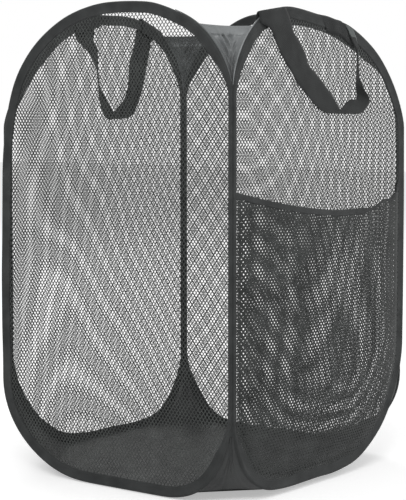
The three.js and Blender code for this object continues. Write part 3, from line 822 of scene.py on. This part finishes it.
def knit(outline, strand, seed, upper=None, openness=evenly_open):
    """A net inside an outline and under an upper line, with small slips of its yarn."""

    def keep(x, z):
        kept = inside(x, z, outline)
        return kept if upper is None else kept & (z < upper(x))

    flat, raised, faces = net_cells(outline.min(0), outline.max(0), strand, keep, openness)
    rng = np.random.default_rng(seed)
    flat = flat + rng.normal(0, 0.03, flat.shape)
    drift = [plane_noise(*flat.T, seed + 1, 130), plane_noise(*flat.T, seed + 2, 110)]
    return flat + 0.5 * np.stack(drift, 1), raised, faces


def net_edge(side):
    """The line under the tape's lips where the net ends."""
    return side.moved_in(between(NET_INSET, SEAM_NET_INSET, side.narrow))


def side_net(side, seed):
    """The net of one side, slightly slack at its middle."""
    flat, raised, faces = knit(net_edge(side), NET_STRAND, seed)
    x, z = flat.T
    slack = (1 - np.clip(np.abs(x) / 150, 0, 1) ** 3) * np.sin(np.pi * np.clip(z / HEIGHT, 0, 1))
    wave = slack * (1.1 * plane_noise(x, z, seed + 5, 170) + 0.3)
    points = side.place(x, z, wave + 0.5 * raised - 0.25 + plane_shift(x, z))
    piece = make_mesh(f"{side.name}_mesh", points, faces, NET)
    attach(piece, side.body, f"{side.name}_net")


# Pocket: a second net on the front side, with a taped mouth

MOUTH_LINE = [
    (-174, 350.5), (-136, 341.5), (-77, 331.0), (-12, 323.6), (24, 322.2), (60, 322.3), (86, 321.8),
    (97, 324.6), (113, 329.6), (130, 330.6), (145, 335.5), (153, 342.5), (163, 348.5), (174, 352.0),
]


def mouth_height(x):
    """Height of the pocket's mouth, which sags and is gathered at its right end."""
    line = catmull(MOUTH_LINE, 300)
    return np.interp(x, line[:, 0], line[:, 1])


def pocket_out(x, z):
    """How far the pocket's net stands out from the mid plane of the front side, and how free it is."""
    x, z = np.broadcast_arrays(np.asarray(x, float), np.asarray(z, float))
    above = z - FRONT.edge_height(x, False)
    aside = np.where(x < 0, FRONT.half_width(z, True), FRONT.half_width(z, False))
    margin = np.minimum(aside - np.abs(x), above)
    width = between(TAPE_WIDTH, SEAM_TAPE, seam_share(x, z))
    free = fade(margin, 0.85 * width, width + 12)
    across = np.clip(1 - (x / HALF_WIDTH) ** 2, 0, 1)
    full = POCKET_FULLNESS * across * fade(above, 0, 130)
    ripple = 0.9 * plane_noise(x, z * 0.4, 71, 90) * across
    return 0.75 + (1.6 + full + ripple) * free + plane_shift(x, z), free


def gathered(x):
    """How open the pocket's holes are: less towards the right end, where the net is gathered."""
    return 1 - 0.5 * fade(x, 96, 152)


def net_top(x):
    return mouth_height(x) - 2


def pocket_net():
    """The pocket's net, from the front side's base up to the mouth's tape."""
    flat, raised, faces = knit(net_edge(FRONT), POCKET_STRAND, 31, net_top, gathered)
    x, z = flat.T
    points = FRONT.place(x, z, pocket_out(x, z)[0] + 0.5 * raised - 0.25)
    piece = make_mesh("pocket_mesh", points, faces, POCKET_NET)
    attach(piece, FRONT.body, "pocket_net")


def pocket_mouth():
    """The tape folded over the pocket's mouth, narrower and gathered at its right end."""
    x = np.linspace(-HALF_WIDTH + 2.4, HALF_WIDTH - 8, 170)
    gather = fade(x, 105, 140) * fade(x, 166, 150)
    top = mouth_height(x) + 0.3 * smooth_noise(x, 41, (24, 60)) + 0.5 * gather * np.sin(x / 3.1)
    narrowing = 0.76 - 0.36 * fade(x, 56, 90)
    front_skin = [(9.0, 0.5), (8.9, 0.95), (8.2, 1.05), (6.6, 0.85), (4, 0.9), (1.6, 1.05), (0.4, 0.8)]
    back_skin = [(drop, -out) for drop, out in front_skin[::-1]]
    profile = np.array([*front_skin, (0, 0), *back_skin])
    ripple = 0.3 * smooth_noise(x, 43, (11, 19))[:, None] * fade(profile[:, 0], 1, 9)[None, :]
    ripple = ripple + 0.7 * gather[:, None] * np.cos(x[:, None] / 2.6 + profile[None, :, 0] / 9)
    z = top[:, None] - profile[None, :, 0] * narrowing[:, None]
    lie, free = pocket_out(x[:, None], z)
    out = lie + (profile[None, :, 1] + ripple) * (0.25 + 0.75 * free)
    grid = FRONT.place(x[:, None], z, out)
    along = lengths_along(np.stack([x, top], 1), closed=False)
    piece = grid_piece("pocket_mouth_tape", grid, TAPE, along, lengths_along(profile), False, True)
    attach(piece, FRONT.body, "pocket_binding")
    low = top - 7.4 * narrowing
    line = FRONT.place(x, low, pocket_out(x, low)[0] + 0.95)[4:-6]
    run = stitch_run(line, (0.0, -1.0, 0.0), *TAPE_STITCH)
    stitch_piece("pocket_mouth_stitches", [run], THREAD, FRONT.body)


# Gussets: sheets of nylon across the corners, between two loops


def folds(across, down, ridges):
    """Soft ridges over a sheet, each from one place of it to another: (a0, d0, a1, d1, width, height)."""
    total = np.zeros_like(across)
    for a0, d0, a1, d1, width, height in ridges:
        run_a, run_d = a1 - a0, d1 - d0
        length = run_a**2 + run_d**2
        share = np.clip(((across - a0) * run_a + (down - d0) * run_d) / length, 0, 1)
        gap = np.hypot(across - a0 - share * run_a, down - d0 - share * run_d)
        ends = np.sin(np.pi * np.clip(share, 0.03, 0.97)) ** 0.5
        total += height * np.exp(-((gap / width) ** 2)) * ends
    return total


def sheet_shares(rows, columns):
    """Shares across and down a sheet, and a rise that ends at its two sewn edges."""
    down, across = np.meshgrid(np.linspace(0, 1, rows), np.linspace(0, 1, columns), indexing="ij")
    return across, down, np.sin(np.pi * across) ** 0.5


def corner_sheet(corner, first_z, second_z, bow, relief):
    """A sheet across a corner. Its rows go from the hem to the point, with a height at each end."""
    _, quarter_turns, first, second, tight, _ = corner
    share = np.linspace(0, 1, relief.shape[1])[None, :]
    face = np.full_like(first_z, -CLOTH_FACE)
    first_reach = first.half_width(first_z, tight) - CLOTH_INSET
    second_reach = second.half_width(second_z, tight) - CLOTH_INSET
    start = np.stack([face, -first_reach, first_z], 1)[:, None, :]
    end = np.stack([-second_reach, face, second_z], 1)[:, None, :]
    grid = start * (1 - share[..., None]) + end * share[..., None]
    width = np.linalg.norm(start - end, axis=2)
    hump = np.sin(np.pi * share) * bow * (width / width.max())
    grid[..., :2] += (hump + relief)[..., None] * math.sqrt(0.5)
    return turned(grid, quarter_turns)


def sheet_piece(name, grid, material):
    along = lengths_along(grid[:, grid.shape[1] // 2], closed=False)
    return grid_piece(name, grid, material, along, lengths_along(grid[0], closed=False))


def flatten(piece):
    """Gives the piece a mesh of its own."""
    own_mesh(piece)


def finish_gusset(kind, corner, grid, material):
    """Makes the gusset's cloth follow its two sides. Where they close it has a crease at its middle, where it
    is split into two halves, one on each side. Where they open flat it has two layers, one against each side."""
    name, _, first, second, closing, _ = corner
    if closing:
        middle = grid.shape[1] // 2
        parts, depth = (grid[:, : middle + 1], grid[:, middle:]), CLOSED_DEPTH
    else:
        inner = grid.copy()
        inner[..., :2] *= 1 - LAYER_GAP / np.linalg.norm(grid[..., :2], axis=2, keepdims=True)
        parts, depth = (grid, inner), OPENED_DEPTH
    for letter, part, side in zip("ab", parts, (first, second)):
        piece = sheet_piece(f"{kind}_gusset_cloth_{name}_{letter}", part, material)
        attach(piece, side.body, f"{kind}_gusset_{name}")
        flatten(piece)


# Ridges of the top gussets: from across and down, to across and down, width, height

TOP_RIDGES = [
    (0.02, 0.10, 0.55, 0.62, 0.060, 2.6),
    (0.98, 0.06, 0.50, 0.55, 0.055, 2.2),
    (0.30, 0.02, 0.52, 0.80, 0.045, -2.0),
    (0.70, 0.10, 0.50, 0.90, 0.050, -1.8),
    (0.12, 0.30, 0.48, 0.95, 0.040, 1.4),
    (0.88, 0.28, 0.52, 0.95, 0.040, 1.6),
    (0.05, 0.20, 0.95, 0.16, 0.040, 1.4),
    (0.15, 0.36, 0.80, 0.40, 0.045, -1.3),
    (0.38, 0.12, 0.44, 0.30, 0.030, 2.4),
    (0.44, 0.14, 0.58, 0.34, 0.026, -2.2),
    (0.52, 0.10, 0.66, 0.26, 0.030, 1.8),
]


def top_gusset(corner, hem, material):
    """A gathered gusset under two rims, from its stitched hem down to its point."""
    name, quarter_turns, first, second = corner[:4]
    rows, columns = 64, 80
    z = np.linspace(hem, TOP_POINT, rows)
    across, down, edge = sheet_shares(rows, columns)
    relief = 1.5 * folds(across, down, TOP_RIDGES) * edge
    relief += 0.8 * plane_noise(across * 70, down * 60, 91 + quarter_turns, 26) * edge
    relief += -1.1 * fade(down, 0.165, 0.145)
    grid = corner_sheet(corner, z, z - 2.8 * (1 - down[:, 0]), 5.0, relief)
    grid[..., 2] -= 1.2 * np.sin(np.pi * across) * (1 - down)
    finish_gusset("top", corner, grid, material)
    middle = columns // 2
    halves = ((slice(4, middle + 1), first), (slice(middle, -4), second))
    for letter, (part, side) in zip("ab", halves):
        hem_stitches(f"top_gusset_stitches_{name}_{letter}", grid[:, part], side, quarter_turns)


def hem_stitches(name, grid, side, quarter_turns):
    """Two rows of light stitches along half of the gusset's hem."""
    outward = turned(np.array([-1.0, -1.0, 0.0]), quarter_turns) * math.sqrt(0.5)
    runs = []
    for row in (2, 9):
        runs.append(stitch_run(grid[row] + outward * 0.15, outward, *HEM_STITCH))
    flatten(stitch_piece(name, runs, LIGHT_THREAD_AND_HIGHLIGHT, side.body))


def bottom_ridges(seed):
    """Creases that run from the gusset's point to places along its foot."""
    rng = np.random.default_rng(seed)
    ridges = []
    for index in range(9):
        start = 0.06 + 0.88 * (index + 0.5 * rng.random()) / 9
        width = 0.02 + 0.025 * rng.random()
        height = 0.45 * (1.0 + rng.random()) * (1 if index % 2 else -1)
        ridges.append((0.5 + 0.12 * (start - 0.5), 0.95, start, 0.05, width, height))
    return ridges


def bottom_gusset(corner):
    """A creased gusset across a lower corner, from its foot up to its point."""
    quarter_turns, tight = corner[1], corner[4]
    rows, columns = 40, 60
    z = np.linspace(BASE_FOOT, TIGHT_BASE_TOP if tight else WIDE_BASE_TOP, rows)
    across, down, edge = sheet_shares(rows, columns)
    relief = folds(across, down, bottom_ridges(17 + quarter_turns)) * edge
    relief += 0.6 * plane_noise(across * 80, down * 80, 55 + quarter_turns, 30) * edge
    finish_gusset("bottom", corner, corner_sheet(corner, z, z, 2.0, relief), DARK_NYLON)


# Seams between the sides, and painted highlights along the rims' edges at the top gussets


def seam_strip(corner, quarter_turns, first, second, tight, joined):
    """The sewn strip between two folds; at the open corner each side keeps half of it."""
    z = np.linspace(80, 470, 110) if tight else np.linspace(98, 420, 90)
    inset = SEAM_FOLD_INSET if tight else FOLD_RADIUS
    plane = np.full_like(z, -MID_PLANE - (SEAM_PLANE_SHIFT if tight else 0))
    first_reach, second_reach = (side.half_width(z, tight) - inset for side in (first, second))
    start = turned(np.stack([plane, -first_reach, z], 1), quarter_turns)
    end = turned(np.stack([-second_reach, plane, z], 1), quarter_turns)
    if joined:
        piece = ribbon(f"{corner}_seam", start, end, 0.9, TAPE, 9)
        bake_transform(piece)
        return
    for side, edge in ((first, start), (second, end)):
        piece = ribbon(f"{corner}_seam_{side.name}", edge, (start + end) / 2, 0.9, TAPE, 5)
        attach(piece, side.body)


def piping(side):
    """A light tube as a painted highlight where the top gusset is sewn to a rim, brighter on the front and
    back, dimmer on the left and right.
    """
    x, z = side.points.T
    chosen = (x < -60) & (z > 462) & (z < 550)
    line = side.points[chosen] - 0.2 * side.directions[chosen]
    share = np.linspace(0, 1, len(line))
    radii = 0.85 * np.sin(np.pi * np.clip(share, 0.04, 0.96)) ** 0.25
    places = side.place(*line.T, -1.3 + SEAM_PLANE_SHIFT * seam_share(*line.T))
    piece = tube(f"{side.name}_gusset_piping", places, radii, DIM_EDGE_HIGHLIGHT if side.flipped else LIGHT_THREAD_AND_HIGHLIGHT)
    attach(piece, side.body)


# Bottom cloth: four triangles that meet at the middle, one sewn to each side


def cloth_reach(side, left):
    return side.half_width(CLOTH_LEVEL, left) - CLOTH_INSET


def bottom_cloth():
    """The cloth's edges rise to the gussets' feet, and it dips and ripples between them."""
    rows, columns = 60, 90
    share = (np.linspace(0, 1, rows) ** 0.9)[:, None, None]
    centre = np.array([0.0, 0.0, CLOTH_MIDDLE])
    reach = 1 - share[..., 0]
    for index, side in enumerate(SIDES):
        x = np.linspace(-cloth_reach(side, True), cloth_reach(side, False), columns)
        edge_z = np.clip(side.edge_height(x, False) + 5.5, 0, CLOTH_EDGE)
        if side.flipped:
            x, edge_z = -x[::-1], edge_z[::-1]
        edge = np.stack([x, np.full(columns, -CLOTH_FACE), edge_z], 1)
        edge = np.concatenate([[bottom_corner(index)], edge, [turned(bottom_corner((index + 1) % 4), 1)]])
        world = turned(edge[None, :, :] * (1 - share) + centre * share, side.quarter_turns)
        wave = plane_noise(world[..., 0], world[..., 1], 5, 120)
        fine = np.abs(plane_noise(world[..., 0], world[..., 1], 9, 60))
        lift = edge[None, :, 2] * reach**3 + CLOTH_MIDDLE * (1 - reach**3)
        world[..., 2] = np.maximum(lift + (1.3 * wave + 1.6 * fine) * np.sin(np.pi * reach), 1.4)
        piece = sheet_piece(f"bottom_cloth_{side.name}", world, DARK_NYLON)
        attach(piece, side.body, "bottom_cloth")
        flatten(piece)


def bottom_corner(index):
    """Middle of the bottom gusset's lower edge at the left end of a side, in that side's own frame."""
    left = not SIDES[index].flipped
    here, there = cloth_reach(SIDES[index], left), cloth_reach(SIDES[index - 1], left)
    return np.array([-(CLOTH_FACE + here) / 2, -(CLOTH_FACE + there) / 2, CLOTH_EDGE])


# Handles: flat webbing, folded and sewn over the rim and hanging in a loop

# Cross-sections of the hanging straps: inner edge, then outer edge, each as place, height and distance out
FRONT_STRAP = [
    ((-69.5, 527.1, 0), (-112, 527.1, 0)),
    ((-57, 514, 0.5), (-101, 510, 0.5)),
    ((-46, 502, 1), (-87, 492, 1.5)),
    ((-43, 491, 2), (-75, 480, 2.5)),
    ((-31, 482, 3), (-66, 469, 3)),
    ((-12, 469, 3), (-48, 457, 3)),
    ((8, 453, 3), (-28, 443, 3)),
    ((20, 441.5, 3), (-12, 436, 3.5)),
    ((23, 440, 3.3), (10, 434.3, 4.5)),
    ((30, 444, 3.3), (35, 434, 5.5)),
    ((38, 449, 3.5), (57, 434, 6.5)),
    ((45, 451.5, 4), (68, 438, 7.5)),
    ((53, 450.5, 3.5), (75, 447, 9)),
    ((58, 455, 3), (71, 454, 12)),
    ((57, 467, 2), (56, 464, 14)),
    ((60, 484, 1), (43, 476, 16)),
    ((61, 498, 1), (47, 491, 12)),
    ((59, 509, 1), (57, 504, 5)),
    ((52, 518, 0.6), (62, 515, 1)),
    ((45, 527.1, 0), (58.5, 527.1, 0)),
]
BACK_STRAP = [
    ((-79, 527.1, 0), (-112, 527.1, 0)),
    ((-74, 513, 0.3), (-109, 513, 0.3)),
    ((-69, 498, 1), (-105, 497, 1)),
    ((-68, 482, 1), (-101, 481, 1.5)),
    ((-66, 468, 1.5), (-96, 464, 2)),
    ((-60, 453, 2), (-88, 446, 3)),
    ((-50, 443, 3), (-76, 430, 4)),
    ((-40, 436, 3), (-58, 426.3, 4.5)),
    ((-36, 438, 3), (-42, 426, 5)),
    ((-29, 446, 3), (-27, 427, 4.5)),
    ((-20, 456, 2.5), (-17, 440, 4.5)),
    ((-13, 465, 2), (-18, 458, 10)),
    ((-6, 481, 1.5), (-24, 476, 15)),
    ((-7, 492, 1), (-13, 490, 8.5)),
    ((-7, 500, 1), (1, 501, 2.6)),
    ((-6, 510, 0.6), (10, 510, 0.8)),
    ((-4, 519, 0.2), (23, 519, 0.2)),
    ((3, 527.1, 0), (36, 527.1, 0)),
]


def ribbon(name, inner, outer, thickness, material, columns=13):
    """A strap with rounded edges between two edge lines, made as one closed skin."""
    share = np.linspace(0, 1, columns)[None, :, None]
    middle = inner[:, None, :] * (1 - share) + outer[:, None, :] * share
    normal = np.cross(np.gradient(middle, axis=0), np.gradient(middle, axis=1))
    normal /= np.linalg.norm(normal, axis=2)[..., None] + 1e-9
    edge = np.sqrt(np.clip(1 - (2 * share[..., 0] - 1) ** 8, 0.06, 1))
    half = thickness / 2 * edge[..., None]
    grid = np.concatenate([middle + normal * half, (middle - normal * half)[:, ::-1]], 1)
    along = lengths_along(middle[:, columns // 2], closed=False)
    width = np.linalg.norm(inner - outer, axis=1).mean()
    across = np.concatenate([np.linspace(0, width, columns), np.linspace(width, 0, columns), [0.0]])
    return grid_piece(name, grid, material, along, across, False, True)


def strap_edge(sections, index):
    """One edge of a hanging strap, as a smooth line through its sections."""
    line = catmull([section[index] for section in sections], 160)
    y = -(OUTER_FACE + 0.35 + STRAP_THICKNESS / 2 + np.clip(line[:, 2], 0, None))
    return np.stack([line[:, 0], y, line[:, 1]], 1)


def handle(side, sections):
    """The hanging strap, which swings about the line where it is sewn on."""
    edges = [turned(strap_edge(sections, index), side.quarter_turns) for index in range(2)]
    piece = ribbon(f"{side.name}_handle_strap", *edges, STRAP_THICKNESS, WEBBING)
    attach(piece, f"{side.name}_handle", f"{side.name}_handle")


def strap_end(side, hand, low_x, top_x, puff):
    """The sewn end, folded over the rim: from the hanging strap up, over and down inside."""
    edges = []
    for low, top, rise in zip(low_x, top_x, puff):
        reach = side.edge_height(top, True) + 0.9
        line = catmull([
            (low, OUTER_FACE + 1.1, RIM_HINGE - 0.3),
            (low * 0.6 + top * 0.4, OUTER_FACE + 1.2, (RIM_HINGE + reach) / 2 - 1),
            (top, OUTER_FACE + 1.2, reach - 2.2),
            (top, OUTER_FACE - 0.6, reach - 0.4 + rise * 0.7),
            (top, MID_PLANE, reach + 0.8 + rise),
            (top, HALF_SIDE + 0.6, reach - 0.4 + rise * 0.7),
            (top, HALF_SIDE - 0.9, reach - 4.2),
            (top, HALF_SIDE - 0.5, reach - 9),
            (top, HALF_SIDE - 0.3, reach - 16),
        ], 60)
        line[:, 1] *= -1
        edges.append(turned(line, side.quarter_turns))
    piece = ribbon(f"{side.name}_strap_fold_{hand}", *edges, STRAP_THICKNESS, WEBBING)
    attach(piece, side.body, f"{side.name}_strap_end_{hand}")


def rim_cover():
    """The front strap's right end, which lies along the rim and wraps it; its end is cut on a slant."""
    top = FRONT.points[:, 1] > HEIGHT / 2
    order = np.argsort(FRONT.points[top, 0])
    rim, ways = FRONT.points[top][order], FRONT.directions[top][order]
    fold = [math.radians(60 + step * 30) for step in range(9)]
    skin = [(20, 1.35), (19.8, 2.0), (15, 2.2), (10, 2.4), (5.5, 2.9)]
    skin += [(FOLD_RADIUS + 3.5 * math.cos(a), 3.5 * math.sin(a)) for a in fold]
    skin += [(5.5, -2.9), (10, -2.3), (15, -2.1), (15.2, -1.4), (10, -1.5), (5.5, -2.2)]
    skin += [(FOLD_RADIUS + 2.75 * math.cos(a), 2.75 * math.sin(a)) for a in fold[::-1]]
    skin += [(5.5, 2.2), (10, 1.6), (15, 1.4)]
    skin = np.array(skin)
    share = np.linspace(0, 1, 44)[:, None]
    sag = 0.88 + 0.16 * fade(share, 0.45, 0.8) - 0.06 * np.exp(-(((share - 0.45) / 0.12) ** 2))
    inset = skin[None, :, 0] * np.where(skin[None, :, 1] > 0, sag, 1)
    lip = np.clip((inset - FOLD_RADIUS) / 8, 0, 1)
    thinning = between(between(0.81, 0.66, lip), 1, fade(share, 0, 0.45))
    inset = np.where(inset < FOLD_RADIUS, FOLD_RADIUS + (inset - FOLD_RADIUS) * thinning, inset)
    left = -13 + 1.15 * inset
    right = 30 + 1.85 * np.clip(inset, -1, 24)
    x = left + share * (right - left)
    spot = sampled(rim, rim[:, 0], x) + sampled(ways, rim[:, 0], x) * inset[..., None]
    out = skin[None, :, 1] * thinning + 0.2 * np.sin(share * 14 + inset / 5) * fade(share, 0, 0.3)
    grid = FRONT.place(spot[..., 0], spot[..., 1], out)
    along = share[:, 0] * 60
    piece = grid_piece("front_strap_fold_right", grid, WEBBING, along, lengths_along(skin), False, True)
    attach(piece, FRONT.body, "front_strap_end_right")


# Painted highlight: a light skin where the strap turns at the rim, for its lit face: left and right border,
# each as place and height
HIGHLIGHT_ABOVE = [
    ((37, 537.4), (38.5, 538.4)), ((39.5, 535.6), (43.5, 537.2)), ((42, 533.2), (49, 535.2)),
    ((44.3, 530.7), (54, 533)), ((46.9, 526.3), (58.6, 526.3)),
]
HIGHLIGHT_BELOW = [
    ((46.3, 527.1), (58.3, 527.1)), ((50.5, 521.5), (61, 521.5)), ((55, 516), (62.6, 516)),
    ((59.6, 507.5), (64.4, 507.5)), ((62.6, 498), (65, 498)),
]


def strap_highlight(name, borders, depth, body):
    """A thin skin of lighter webbing as a painted highlight, at a depth in front of the middle of the hamper.
    """
    edges = []
    for index in range(2):
        line = catmull([border[index] for border in borders], 40)
        edges.append(np.stack([line[:, 0], np.full(len(line), -depth), line[:, 1]], 1))
    attach(ribbon(name, *edges, 0.7, WEBBING_HIGHLIGHT, 9), body)


# Assembly

make_camera()

for number, side in enumerate(SIDES):
    binding(side, 11 * number + 3)
    binding_stitches(side)
    wire(side)
    side_net(side, 101 + 10 * number)
    piping(side)

for corner in CORNERS:
    seam_strip(*corner)

pocket_net()
pocket_mouth()

top_gusset(CORNERS[0], FRONT_HEM, GREY_NYLON)
top_gusset(CORNERS[2], BACK_HEM, BACK_NYLON)
for corner in CORNERS:
    bottom_gusset(corner)
bottom_cloth()

handle(FRONT, FRONT_STRAP)
handle(BACK, BACK_STRAP)
strap_end(FRONT, "left", (-112, -69.5), (-132, -84), (8.5, -2.5))
rim_cover()
# Painted highlights where the front strap turns at the rim.
strap_highlight("front_strap_highlight_upper", HIGHLIGHT_ABOVE, OUTER_FACE + 1.2, FRONT.body)
strap_highlight("front_strap_highlight_lower", HIGHLIGHT_BELOW, OUTER_FACE + 1.65, "front_handle")
strap_end(BACK, "left", (-112, -79), (-129, -87), (2, 1))
strap_end(BACK, "right", (3, 36), (-4, 43), (1, 1))


# Stage: a pale floor that meets a white background, and soft studio light


def make_floor():
    """A pale floor, brightened where the camera sees it so that it meets the background."""
    data = bpy.data.meshes.new("floor")
    data.from_pydata([(-8, -8, 0), (8, -8, 0), (8, 8, 0), (-8, 8, 0)], [], [(0, 1, 2, 3)])
    floor = add_object("floor", data)
    floor.location.z = -0.0006
    shader = Shader("floor_paint", 0.9, specular=0.1)
    shader.surface.inputs["Base Color"].default_value = grey(0.8)
    glow = shader.node("ShaderNodeEmission")
    shader.fill(glow.inputs, (WHITE, shader.math("MULTIPLY", shader.seen(), 0.42)))
    both = shader.node("ShaderNodeAddShader")
    shader.fill(both.inputs, (shader.surface.outputs[0], glow.outputs[0]))
    shader.link(both.outputs[0], shader.tree.nodes["Material Output"].inputs["Surface"])
    data.materials.append(shader.material)


def make_world():
    """White to the camera, and half as bright as light."""
    world = bpy.data.worlds.new("studio")
    bpy.context.scene.world = world
    nodes = Nodes(world)
    strength = nodes.node("ShaderNodeMapRange")
    sockets = [strength.inputs[key] for key in ("Value", "To Min", "To Max")]
    nodes.fill(sockets, (nodes.seen(), 0.5, 1.0))
    nodes.fill(nodes.tree.nodes["Background"].inputs, (WHITE, strength.outputs["Result"]))


def make_lamp(name, place, power, size):
    data = bpy.data.lights.new(name, "AREA")
    data.energy = power
    data.size = size
    lamp = add_object(name, data)
    lamp.location = place
    lamp.rotation_euler = (Vector((0, 0, 0.3)) - Vector(place)).to_track_quat("-Z", "Y").to_euler()


make_floor()
make_world()
make_lamp("key_lamp", (-2.6, -1.4, 2.4), 60, 1.6)
make_lamp("fill_lamp", (1.2, -3.0, 1.6), 30, 2.0)
make_lamp("back_lamp", (1.5, 2.4, 2.6), 30, 2.0)

view = bpy.context.scene.view_settings
view.view_transform = "Standard"
